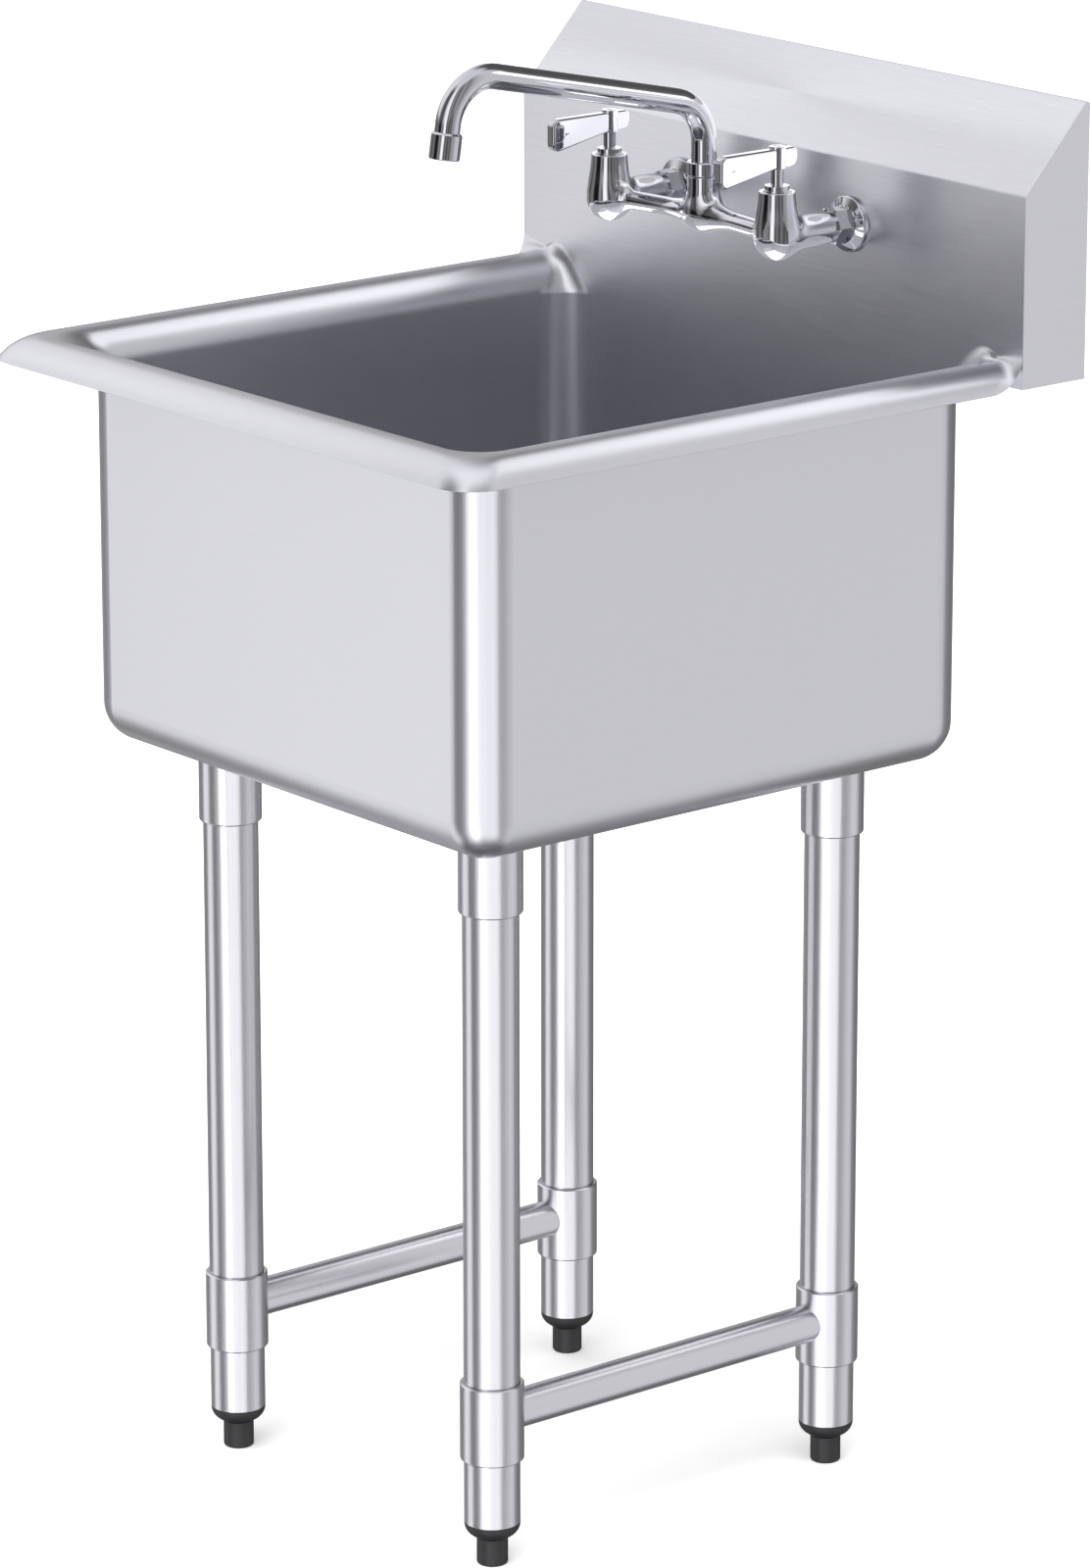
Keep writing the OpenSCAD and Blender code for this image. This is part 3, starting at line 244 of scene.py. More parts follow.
class LeverSizes(bpy.types.PropertyGroup):
    """Sizes of a lever handle"""
    lift: length("Lift", "Foot of the lever's hub above the supplies' axis", 49.5)
    hub_r: length("Hub", "Radius of the hub", 6.05)
    hub_h: length("Hub's height", "Height of the hub", 16.6)
    reach: length("Reach", "From the stem to the blade's tip", 57.5)
    tail: length("Tail", "From the stem to the tail's end", 16.5)
    thick: length("Thickness", "Thickness of the blade", 8.6)
    tip_h: length("Tip's height", "Height of the blade at its tip", 24.0)
    step: length("Step", "Fall from the hub's top to the blade's top", 1.6)
    root_h: length("Root's height", "Height of the blade at the hub", 15.0)
    edge: length("Edge", "Rounding of the blade's edges", 2.0)
    tip_r: length("Tip's corners", "Radius of the corners at the tip", 6.0)
    root_r: length("Root's corners", "Radius of the corners at the hub", 4.0)
    heel_r: length("Heel", "Radius under the tail", 7.4)
    blend: length("Blend", "Width of the blend between hub and blade", 0.7)
    spline_r: length("Spline bore", "Radius of the bore for the stem", 3.65)
    shaft_r: length("Screw bore", "Radius of the bore for the screw", 2.05)
    recess_r: length("Recess", "Radius of the screw head's recess", 3.85)
    recess: length("Recess's depth", "Depth of the screw head's recess", 2.4)
    floor: length("Recess's floor", "Metal between the stem and the recess", 1.2)
    grain: length("Mesh size", "Cell of the levers' mesh", 0.5)


class FinishSettings(bpy.types.PropertyGroup):
    """Colours and gloss of the finishes"""
    steel: tint("Steel", "Satin sheet steel", (0.64, 0.643, 0.685))
    tube: tint("Tube", "Satin tube steel", (0.66, 0.655, 0.70))
    chrome: tint("Chrome", "Mirror chrome", (0.56, 0.56, 0.6))
    brass: tint("Brass", "Raw machined brass", (0.72, 0.52, 0.24))
    black: tint("Black", "Moulded black nylon", (0.012, 0.012, 0.014))
    rubber: tint("Rubber", "Black rubber", (0.02, 0.02, 0.021))
    nylon: tint("White nylon", "Moulded off-white nylon", (0.8, 0.79, 0.75))
    fibre: tint("Fibre", "Red fibre washer", (0.36, 0.1, 0.06))
    steel_grain: share("Steel grain", "How far the brush lines draw out the steel's reflections", 0.6)
    steel_metal: share("Steel metal", "Share of the steel's light that is mirrored, not scattered", 0.98)
    steel_gloss: share("Steel roughness", "Roughness of the sheet steel", 0.31)
    tube_gloss: share("Tube roughness", "Roughness of the tubes", 0.26)
    chrome_gloss: share("Chrome roughness", "Roughness of the chrome", 0.015)


class StudioSettings(bpy.types.PropertyGroup):
    """The camera at the photo's angle, the floor and the light"""
    eye: FloatVectorProperty(name="Eye", description="Place of the camera",
                             default=(3.8934, -3.1716, 1.9547), size=3, unit="LENGTH")
    yaw: rotation("Yaw", "Turn from +Y towards -X", 50.227)
    pitch: rotation("Pitch", "Tilt above the horizon", -15.932)
    roll: rotation("Roll", "Roll about the view", 0.096)
    focal_share: FloatProperty(name="Focal share", description="Focal length over the image's height",
                               default=4.486728)
    shift: FloatVectorProperty(name="Shift", description="Shift of the lens over the image's height",
                               default=(-0.03601, 0.00646), size=2)
    floor: tint("Floor", "Colour of the floor", (0.9, 0.9, 0.9))
    floor_glow: share("Floor's glow", "Light that the floor gives off, which lightens its shadows", 0.3)
    lamp: FloatProperty(name="Lamp", description="Strength of the overhead lamp", default=3.0, min=0.0)
    lamp_breadth: rotation("Lamp's breadth", "How broad the overhead lamp looks", 60.0)
    lamp_tilt: rotation("Lamp's tilt", "Tilt of the overhead lamp about X", 20.0)
    lamp_lean: rotation("Lamp's lean", "Tilt of the overhead lamp about Y", 15.0)


class Socket:
    """One output of a shader node. An expression on it adds Math nodes."""

    def __init__(self, graph, out):
        self.graph = graph
        self.out = out

    def math(self, operation, a, b):
        return self.graph.node("ShaderNodeMath", {"operation": operation}, {0: a, 1: b})

    def __add__(self, other):
        return self.math("ADD", self, other)

    def __sub__(self, other):
        return self.math("SUBTRACT", self, other)

    def __rsub__(self, other):
        return self.math("SUBTRACT", other, self)

    def __mul__(self, other):
        return self.math("MULTIPLY", self, other)

    __radd__ = __add__
    __rmul__ = __mul__


class Graph:
    """A node tree that is filled by calls"""

    def __init__(self, tree):
        self.tree = tree
        tree.nodes.clear()

    def node(self, kind, settings=None, inputs=None, output=0):
        """Adds a node: its settings first, then the values or links of its sockets."""
        made = self.tree.nodes.new(kind)
        for key, value in (settings or {}).items():
            if key == "stops":
                self.fill_ramp(made.color_ramp, value)
            else:
                setattr(made, key, value)
        for key, value in (inputs or {}).items():
            if isinstance(value, Socket):
                self.tree.links.new(value.out, made.inputs[key])
            else:
                made.inputs[key].default_value = value
        return Socket(self, made.outputs[output]) if made.outputs else made

    @staticmethod
    def fill_ramp(ramp, stops):
        """Sets a ramp's stops from pairs of a place and a grey or a colour."""
        while len(ramp.elements) > 1:
            ramp.elements.remove(ramp.elements[-1])
        for i, (place, colour) in enumerate(stops):
            element = ramp.elements[0] if i == 0 else ramp.elements.new(place)
            element.position = place
            rgb = (colour,) * 3 if isinstance(colour, (int, float)) else tuple(colour)
            element.color = rgb + (1.0,)

    def scaled_place(self, scale):
        """The point in the object's frame, stretched per axis."""
        place = self.node("ShaderNodeTexCoord", output="Object")
        return self.node("ShaderNodeVectorMath", {"operation": "MULTIPLY"}, {0: place, 1: scale})

    def noise(self, scale, detail=3.0, roughness=0.6):
        """Noise between 0 and 1, with so many cells per metre along each axis."""
        return self.node("ShaderNodeTexNoise", {"noise_dimensions": "3D"},
                         {"Vector": self.scaled_place(scale), "Scale": 1.0, "Detail": detail,
                          "Roughness": roughness})

    def mix(self, factor, a, b):
        """A colour between a and b."""
        made = self.tree.nodes.new("ShaderNodeMix")
        made.data_type = "RGBA"
        slots = {"Factor_Float": factor, "A_Color": a, "B_Color": b}
        for socket in made.inputs:
            if socket.identifier in slots:
                value = slots[socket.identifier]
                if isinstance(value, Socket):
                    self.tree.links.new(value.out, socket)
                else:
                    socket.default_value = value if isinstance(value, float) else tuple(value) + (1.0,)
        out = next(s for s in made.outputs if s.identifier == "Result_Color")
        return Socket(self, out)


def shaded(colour, factor):
    return tuple(min(1.0, c * factor) for c in colour)


def new_material(name):
    material = bpy.data.materials.new(name)
    material.use_nodes = True
    return material, Graph(material.node_tree)


def finish_material(graph, colour, roughness, metallic, normal=None, **constants):
    """The last nodes of every finish. Constants are set on the shader's own sockets."""
    inputs = {"Base Color": colour, "Roughness": roughness, "Metallic": metallic}
    if normal is not None:
        inputs["Normal"] = normal
    inputs.update(constants)
    shader = graph.node("ShaderNodeBsdfPrincipled", None, inputs)
    graph.node("ShaderNodeOutputMaterial", None, {"Surface": shader})


def brushed(name, colour, gloss, lines, depth, contrast=0.05, spread=0.08, metal=1.0, **constants):
    """Satin steel with fine brush lines. lines gives the cells per metre along x, y and z."""
    material, graph = new_material(name)
    fine = graph.noise(lines, detail=4.0, roughness=0.65)
    broad = graph.noise(STEEL_CLOUDS, detail=2.0, roughness=0.5)
    tone = fine * LINE_SHARE + broad * (1.0 - LINE_SHARE)
    base = graph.mix(tone, shaded(colour, 1.0 - contrast), shaded(colour, 1.0 + contrast))
    rough = (fine - 0.5) * spread + (broad - 0.5) * CLOUD_SPREAD + gloss
    bump = graph.node("ShaderNodeBump", None, {"Strength": depth, "Distance": LINE_HEIGHT, "Height": fine})
    finish_material(graph, base, rough, metal, bump, **constants)
    return material


def chromed(name, colour, gloss):
    """Mirror chrome with faint clouds in its tone and gloss, as handling leaves."""
    material, graph = new_material(name)
    broad = graph.noise(CHROME_CLOUDS, detail=2.0, roughness=0.5)
    fine = graph.noise(CHROME_GRAIN, detail=2.0, roughness=0.5)
    base = graph.mix(broad, shaded(colour, 0.97), shaded(colour, 1.03))
    rough = (fine - 0.5) * 0.01 + gloss
    finish_material(graph, base, rough, 1.0)
    return material


def moulded(name, colour, gloss, grain=0.12):
    """Moulded plastic or rubber with a fine eroded grain."""
    material, graph = new_material(name)
    grainy = graph.noise(MOULDED_GRAIN, detail=3.0, roughness=0.6)
    broad = graph.noise(MOULDED_CLOUDS, detail=2.0, roughness=0.5)
    base = graph.mix(broad, shaded(colour, 0.85), shaded(colour, 1.2))
    rough = (grainy - 0.5) * 0.15 + gloss
    bump = graph.node("ShaderNodeBump", None, {"Strength": grain, "Distance": GRAIN_HEIGHT, "Height": grainy})
    finish_material(graph, base, rough, 0.0, bump)
    return material


def dress(names, material):
    """Gives CAD nodes one material."""
    for name in names:
        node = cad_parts[name]
        node.data.materials.clear()
        node.data.materials.append(material)


def smooth_min(a, b, blend):
    """The union of two signed distances, blended where they are within that width of each other."""
    near = np.maximum(blend - np.abs(a - b), 0.0) / blend
    return np.minimum(a, b) - near ** 3 * blend / 6


def rounded(a, b, radius):
    """What two signed distances share, with its edge rounded."""
    outside = np.hypot(np.maximum(a + radius, 0.0), np.maximum(b + radius, 0.0))
    return np.minimum(-radius, np.maximum(a, b)) + outside


def eased(t):
    """0 to 1 along a cosine that is flat at both ends."""
    return 0.5 - 0.5 * np.cos(np.pi * np.clip(t, 0.0, 1.0))


def tapered(t, first, last):
    """A radius that passes smoothly from first, at t = 0, to last, at t = 1."""
    return first + (last - first) * eased(t)


def disc_pair(u, v, a, b):
    """Distance in a plane to two discs (u, v, radius) and what lies between their common tangents."""
    reach = math.hypot(b[0] - a[0], b[1] - a[1])
    du, dv = (b[0] - a[0]) / reach, (b[1] - a[1]) / reach
    along = (u - a[0]) * du + (v - a[1]) * dv
    off = np.abs((u - a[0]) * dv - (v - a[1]) * du)
    lean = (a[2] - b[2]) / reach
    hold = math.sqrt(1.0 - lean * lean)
    past = along * hold - off * lean
    flank = off * hold + along * lean - a[2]
    far = np.where(past > hold * reach, np.hypot(along - reach, off) - b[2], flank)
    return np.where(past < 0.0, np.hypot(along, off) - a[2], far)


def slope_of(field, points, step):
    """The field's slope at each point, by central differences."""
    columns = []
    for axis in range(3):
        shift = np.zeros(3)
        shift[axis] = step
        columns.append(field(*(points + shift).T) - field(*(points - shift).T))
    return np.stack(columns, 1) / (2.0 * step)


def skin(field, low, high, cell, passes=4, probe_share=0.02, least_slope=0.25):
    """Points, outward directions and quads of the surface where a signed distance is zero.

    Points start at the mean of their cell's crossings, and each pass draws them along the slope to zero.
    """
    shape = [int((b - a) / cell) + 2 for a, b in zip(low, high)]
    value = field(*np.meshgrid(*[a + cell * np.arange(n) for a, n in zip(low, shape)], indexing="ij"))
    strides = np.array([shape[1] * shape[2], shape[2], 1])
    sums = np.zeros((value.size, 3))
    hits = np.zeros(value.size)
    quads = []
    for axis in range(3):
        ends = np.moveaxis(value, axis, 0)
        crossed = np.moveaxis((ends[:-1] < 0) != (ends[1:] < 0), 0, axis)
        start = np.argwhere(crossed)
        unit = np.eye(3, dtype=int)[axis]
        first, last = value[tuple(start.T)], value[tuple((start + unit).T)]
        points = np.array(low) + cell * (start + unit * (first / (first - last))[:, None])
        corner = start @ strides
        across, up = strides[(axis + 1) % 3], strides[(axis + 2) % 3]
        ring = np.stack([corner, corner - across, corner - across - up, corner - up], 1)
        for cells in ring.T:
            np.add.at(sums, cells, points)
            np.add.at(hits, cells, 1)
        quads.append(np.where((first < 0)[:, None], ring, ring[:, ::-1]))
    quads = np.concatenate(quads)
    used, faces = np.unique(quads, return_inverse=True)
    points = sums[used] / hits[used][:, None]
    step = cell * probe_share
    for _ in range(passes):
        slope = slope_of(field, points, step)
        gap = field(*points.T) / np.maximum((slope ** 2).sum(1), least_slope)
        points = points - np.clip(gap, -cell, cell)[:, None] * slope
    slope = slope_of(field, points, step)
    return points, slope / np.linalg.norm(slope, axis=1)[:, None], faces.reshape(quads.shape)


def new_piece(name, points, faces, material, sharp=None, facing=None):
    """A smooth mesh object in the frame, with its sharp angle or the directions that its points face."""
    mesh = bpy.data.meshes.new(name)
    mesh.from_pydata(np.asarray(points).tolist(), [], [tuple(f) for f in faces])
    mesh.validate()
    mesh.update()
    mesh.shade_smooth()
    if sharp is not None:
        mesh.set_sharp_from_angle(angle=sharp)
    if facing is not None:
        mesh.normals_split_custom_set_from_vertices(facing.tolist())
    mesh.materials.append(material)
    piece = bpy.data.objects.new(name, mesh)
    bpy.context.scene.collection.objects.link(piece)
    return piece


def steel_material(name, lines, depth=0.02, **extra):
    """Sheet steel brushed level, whose lines draw its reflections out up and down."""
    finish = bpy.context.scene.sink_finish
    across = {"Anisotropic": finish.steel_grain, "Anisotropic Rotation": 0.25}
    return brushed(name, finish.steel, finish.steel_gloss, lines, depth, metal=finish.steel_metal,
                   **across, **extra)


def rim_section(s):
    """Points across the sheet: distance out from the wall, height and the direction that its top faces."""
    crown_u = s.roll_in - s.sheet + s.crown
    fall = math.acos(1 - s.drop / s.roll_out)
    fall_share = (s.reach - crown_u) / (s.roll_out * math.sin(fall))
    rows = [(-s.sheet, s.height - s.roll_in - s.seam_drop, -1.0, 0.0)]
    for i in range(s.steps + 1):
        a = math.pi * (1 - 0.5 * i / s.steps)
        u = s.roll_in * (1 + math.cos(a)) - s.sheet
        rows.append((u, s.height - s.roll_in * (1 - math.sin(a)), math.cos(a), math.sin(a)))
    for i in range(s.steps + 1):
        a = fall * i / s.steps
        u = crown_u + fall_share * s.roll_out * math.sin(a)
        facing = Vector((math.sin(a), fall_share * math.cos(a))).normalized()
        rows.append((u, s.height - s.roll_out * (1 - math.cos(a)), facing.x, facing.y))
    return rows, crown_u


def cove_share(t):
    """Growth of the cove from the crown, at t = 0, down the inner roll to the wall, at t = 1."""
    first, second, third = COVE_SHARES
    return t * (first + t * (second + t * third))


class SINK_OT_rolled_rim(bpy.types.Operator):
    """Build the rolled rim's sheet with its front corners and its coves to the backsplash"""
    bl_idname = "sink.rolled_rim"
    bl_label = "Rolled rim"

    def execute(self, context):
        s = context.scene.sink_rim
        rows, crown_u = rim_section(s)
        half = CAD_BOX[1][0] - s.reach
        wall_y = CAD_BOX[1][1] - s.splash_depth
        front_y = CAD_BOX[0][1] + s.reach

        def cove(row):
            """Radius of the cove at a point of the section, and the way it climbs from there."""
            u, z, nu, nz = row
            if u > crown_u - s.crown + HAIR:
                past = max(0.0, u - crown_u) / (s.reach - crown_u)
                return s.height + s.cove_crown - z + (s.cove_edge - s.cove_crown) * past, (0.0, 1.0)
            t = math.acos(max(-1.0, min(1.0, nz))) / (0.5 * math.pi)
            return s.cove_crown + (s.bowl_corner - s.sheet - s.cove_crown) * cove_share(t), (nu, nz)

        def place(u, z, side, at_front, turn, reach):
            """Where a point of the section lies when it has turned so far round a corner or up a cove."""
            if not at_front:
                return [side * (half + u), wall_y - reach * (1 - math.sin(turn)), z]
            growth = u if u < 0 else (s.corner - s.bowl_corner) * u / s.reach
            r = s.bowl_corner + growth
            return [side * (half + u - r + r * math.cos(turn)), front_y - u + r - r * math.sin(turn), z]

        def ring(side, at_front, turn):
            """The section's top and underside at one station."""
            top, under = [], []
            for u, z, nu, nz in rows:
                reach, climb = cove((u, z, nu, nz))
                lift = 0.0 if at_front else reach * (1 - math.cos(turn))
                thick = s.sheet if at_front else s.sheet * max(math.cos(turn), THINNEST_SHARE)
                p = place(u, z, side, at_front, turn, reach)
                q = place(u - thick * nu, z - thick * nz, side, at_front, turn, reach)
                if not at_front:
                    q[1] = min(q[1] + s.sheet * math.sin(turn), wall_y)
                for (x, y, height), out in ((p, top), (q, under)):
                    out.append((x + side * lift * climb[0], y, height + lift * climb[1]))
            return top + under[::-1]

        quarter = [0.5 * math.pi * i / s.steps for i in range(s.steps + 1)]
        rings = []
        for side, at_front, turns in ((-1, False, quarter[::-1]), (-1, True, quarter),
                                      (1, True, quarter[::-1]), (1, False, quarter)):
            turned = [ring(side, at_front, turn) for turn in turns]
            if rings:
                nearer, farther = np.array(rings[-1]), np.array(turned[0])
                rings += [nearer + (farther - nearer) * t for t in STRAIGHT_SHARES]
            rings += turned
        count = 2 * len(rows)
        points = [p for current in rings for p in current]
        faces = []
        for j in range(len(rings) - 1):
            for i in range(count):
                k = (i + 1) % count
                faces.append((j * count + i, j * count + k, (j + 1) * count + k, (j + 1) * count + i))
        faces.append(tuple(range(count - 1, -1, -1)))
        faces.append(tuple((len(rings) - 1) * count + i for i in range(count)))
        material = steel_material("rim_steel_finish", lines=(60.0, 60.0, 400.0), contrast=0.03, spread=0.03)
        piece = new_piece("rolled_rim_sheet", points, faces, material, sharp=CRISP)
        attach(piece, "sink")
        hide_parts("rolled_rim")
        return {"FINISHED"}


class SINK_OT_bowl(bpy.types.Operator):
    """Finish the drawn bowl"""
    bl_idname = "sink.bowl"
    bl_label = "Bowl"

    def execute(self, context):
        dress(["bowl"], steel_material("bowl_steel_finish", lines=(25.0, 25.0, 600.0), contrast=0.05))
        return {"FINISHED"}


class SINK_OT_backsplash(bpy.types.Operator):
    """Finish the backsplash and its end plates"""
    bl_idname = "sink.backsplash"
    bl_label = "Backsplash"

    def execute(self, context):
        along = steel_material("backsplash_finish", lines=(28.0, 600.0, 600.0), contrast=0.14)
        across = steel_material("end_plate_finish", lines=(500.0, 20.0, 550.0), contrast=0.06)
        dress(["backsplash"], along)
        dress(["backsplash_end_" + side for side in SIDES], across)
        return {"FINISHED"}


class SINK_OT_stand(bpy.types.Operator):
    """Finish the sockets, legs, collars, rails, foot caps and feet"""
    bl_idname = "sink.stand"
    bl_label = "Stand"

    def execute(self, context):
        finish = context.scene.sink_finish

        def tubing(name, lines):
            return brushed(name, finish.tube, finish.tube_gloss, lines, depth=0.12, contrast=0.03,
                           spread=0.05)

        tube = tubing("tube_finish", (900.0, 900.0, 12.0))
        rail = tubing("rail_finish", (900.0, 12.0, 900.0))
        sleeve = tubing("sleeve_finish", (700.0, 700.0, 30.0))
        screw = brushed("screw_finish", finish.steel, finish.steel_gloss, (600.0, 600.0, 600.0), depth=0.2)
        black = moulded("foot_finish", finish.black, gloss=0.5)
        dress(["leg_" + c for c in CORNERS], tube)
        dress(["side_rail_" + side for side in SIDES], rail)
        dress(["leg_socket_" + c for c in CORNERS] + ["rail_collar_" + c for c in CORNERS], sleeve)
        dress(["socket_set_screws", "collar_set_screws"], screw)
        dress(["foot_cap_" + c for c in CORNERS] + ["foot_" + c for c in CORNERS], black)
        return {"FINISHED"}


class SINK_OT_drain(bpy.types.Operator):
    """Finish the basket strainer and the tap's hidden pieces"""
    bl_idname = "sink.drain"
    bl_label = "Drain"

    def execute(self, context):
        finish = context.scene.sink_finish
        steel = brushed("drain_finish", finish.steel, gloss=0.18, lines=(300.0, 300.0, 300.0), depth=0.1,
                        contrast=0.03, spread=0.05)
        brass = brushed("brass_finish", finish.brass, gloss=0.3, lines=(500.0, 500.0, 900.0), depth=0.2)
        dress(["strainer_body", "strainer_basket"], steel)
        dress(["strainer_locknut", "shank_locknuts"] + ["inlet_shank_" + s for s in SIDES], brass)
        rubber = moulded("rubber_finish", finish.rubber, gloss=0.6)
        fibre = moulded("fibre_finish", finish.fibre, gloss=0.7, grain=0.3)
        nylon = moulded("nylon_finish", finish.nylon, gloss=0.4)
        dress(["strainer_gasket", "basket_seal", "union_washers", "spout_orings"], rubber)
        dress(["strainer_washer"], fibre)
        dress(["aerator_insert"] + ["cartridge_" + s for s in SIDES], nylon)
        return {"FINISHED"}


def chrome_material():
    made = bpy.data.materials.get("chrome_finish")
    if made:
        return made
    finish = bpy.context.scene.sink_finish
    return chromed("chrome_finish", finish.chrome, finish.chrome_gloss)


def tap_axes(s):
    """Places in plan: half the span, then the y of the valves, of the riser and of the arms' ends."""
    wall_y = CAD_BOX[1][1] - bpy.context.scene.sink_rim.splash_depth
    return s.span / 2, wall_y - s.out, wall_y - s.riser_out, wall_y - s.arm_end


def tap_body_field(s):
    """Signed distance to the cast body: two pears with arms, a bridge and a bell, less their bores."""
    valve_x, valve_y, riser_y, arm_end = tap_axes(s)
    throat_top = s.hub_h + s.throat_h
    neck_top = throat_top + s.neck_h

    def field(x, y, z):
        x, z = np.abs(x), z - s.axis_height
        off_x, off_y = x - valve_x, y - valve_y
        around = np.hypot(off_x, off_y)
        rise = z + s.valve_low
        flank = around - tapered(rise / (s.valve_h - s.ledge + s.valve_low), s.valve_r, s.valve_top_r)
        pear = np.where(rise > 0, flank, np.hypot(around, rise) - s.valve_r)
        pear = rounded(pear, z - s.valve_h, s.ledge)
        arm_off = np.hypot(off_x, z)
        arm = np.maximum(arm_off - tapered(off_y / s.arm_flare, s.arm_root_r, s.arm_r), -off_y)
        arm = rounded(arm, y - arm_end + s.thread, s.ledge)
        thread = np.maximum(np.maximum(arm_off - s.arm_r + s.thread_depth, y - arm_end), -off_y)
        bow_y = valve_y + (riser_y - valve_y) * (1.0 - (x / valve_x) ** 2)
        bridge_off = np.hypot(y - bow_y, z)
        wide = tapered(x / s.hub_flare, s.hub_flare_r, s.bridge_r)
        wide = wide + tapered(off_x / s.valve_flare + 1.0, 0.0, s.valve_flare_r - s.bridge_r)
        bridge = np.maximum(bridge_off - wide, off_x)
        hub_off = np.hypot(x, y - riser_y)
        rise = z - s.hub_lift
        bell = hub_off - tapered(rise / (s.hub_h - s.hub_lift), s.hub_r, s.throat_r)
        hub = rounded(np.where(rise > 0, bell, np.hypot(hub_off, rise) - s.hub_r), z - throat_top, s.ledge)
        neck = np.maximum(np.maximum(hub_off - s.neck_r, z - neck_top), -z)
        solid = smooth_min(smooth_min(pear, arm, s.blend), smooth_min(bridge, hub, s.blend), s.blend)
        solid = np.minimum(np.minimum(solid, thread), neck)
        bores = (np.maximum(around - s.cartridge_r, s.cartridge_low - z),
                 np.hypot(around, z) - s.cavity_r,
                 np.maximum(arm_off - s.bore_r, -off_y),
                 np.maximum(bridge_off - s.waterway_r, off_x),
                 np.maximum(hub_off - s.seat_r, neck_top - s.seat_depth - z),
                 np.maximum(hub_off - s.bore_r, -z),
                 np.hypot(hub_off, z) - s.cavity_r)
        return np.maximum(solid, -np.minimum.reduce(bores))

    return field


class SINK_OT_tap_body(bpy.types.Operator):
    """Cast the tap's body, with blends between its chambers, bridge and arms"""
    bl_idname = "sink.tap_body"
    bl_label = "Tap body"

    def execute(self, context):
        s = context.scene.sink_tap
        valve_x, valve_y, _, arm_end = tap_axes(s)
        edge = 3 * s.grain
        out = s.valve_r + edge
        low = (-valve_x - out, valve_y - out, s.axis_height - s.valve_low - out)
        high = (valve_x + out, arm_end + edge, s.axis_height + s.hub_h + s.throat_h + s.neck_h + edge)
        points, facing, faces = skin(tap_body_field(s), low, high, s.grain)
        piece = new_piece("tap_body_casting", points, faces, chrome_material(), facing=facing)
        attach(piece, "sink")
        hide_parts("tap_body")
        return {"FINISHED"}


def lever_field(s):
    """Signed distance to a lever about its stem's axis, with z from the hub's foot."""
    top = s.hub_h - s.step
    tip_y = s.tip_r - s.reach
    tips = ((tip_y, top - s.tip_r, s.tip_r), (tip_y, top - s.tip_h + s.tip_r, s.tip_r))
    roots = ((0.0, top - s.root_r, s.root_r), (-s.hub_r, top - s.root_h + s.root_r, s.root_r))
    heels = ((s.tail - s.root_r, top - s.root_r, s.root_r),
             (s.tail - s.heel_r, top - s.root_h + s.heel_r, s.heel_r),
             (0.0, top - s.root_h + s.root_r, s.root_r))
    blade = tips + roots
    pairs = [(a, b) for i, a in enumerate(blade) for b in blade[:i]]
    back = roots[:1] + heels
    pairs += [(a, b) for i, a in enumerate(back) for b in back[:i]]

    def field(x, y, z):
        outline = np.minimum.reduce([disc_pair(y, z, a, b) for a, b in pairs])
        plate = rounded(outline, np.abs(x) - s.thick / 2, s.edge)
        around = np.hypot(x, y)
        hub = rounded(around - s.hub_r, np.abs(z - s.hub_h / 2) - s.hub_h / 2, s.edge / 4)
        solid = smooth_min(plate, hub, s.blend)
        bores = (np.maximum(around - s.spline_r, z - s.hub_h + s.floor + s.recess), around - s.shaft_r,
                 np.maximum(around - s.recess_r, s.hub_h - s.recess - z))
        return np.maximum(solid, -np.minimum.reduce(bores))

    return field


class SINK_OT_levers(bpy.types.Operator):
    """Shape the two lever handles"""
    bl_idname = "sink.levers"
    bl_label = "Levers"

    def execute(self, context):
        s = context.scene.sink_lever
        tap = context.scene.sink_tap
        valve_x, valve_y = tap_axes(tap)[:2]
        edge = 3 * s.grain
        low = (-s.hub_r - edge, -s.reach - edge, s.hub_h - s.step - s.tip_h - edge)
        high = (s.hub_r + edge, s.tail + edge, s.hub_h + edge)
        points, facing, faces = skin(lever_field(s), low, high, s.grain)
        for side, way in zip(SIDES, (-1, 1)):
            place = np.array((way * valve_x, valve_y, tap.axis_height + s.lift))
            name = "lever_blade_" + side
            piece = new_piece(name, points + place, faces, chrome_material(), facing=facing)
            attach(piece, side + "_handle")
            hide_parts("lever_" + side)
        return {"FINISHED"}


def spout_path(s, riser_y, axis_z, low_z):
    """Stations up the riser, over both bends and down to the outlet: y, z and the turn from upright."""
    y, z, turn = riser_y, axis_z + s.riser, 0.0
    stations = [(y, low_z, turn), (y, (low_z + z) / 2, turn), (y, z, turn)]
    for radius, sweep, run in ((s.bend_in, math.pi / 2 - s.pitch, s.run), (s.bend_out, s.turn, s.tail)):
        centre = (y - radius * math.cos(turn), z - radius * math.sin(turn))
        for i in range(1, s.bend_steps + 1):
            a = turn + sweep * i / s.bend_steps
            stations.append((centre[0] + radius * math.cos(a), centre[1] + radius * math.sin(a), a))
        turn += sweep
        y, z = stations[-1][0], stations[-1][1]
        for part in RUN_SHARES:
            stations.append((y - run * part * math.sin(turn), z + run * part * math.cos(turn), turn))
        y, z = stations[-1][0], stations[-1][1]
    return stations


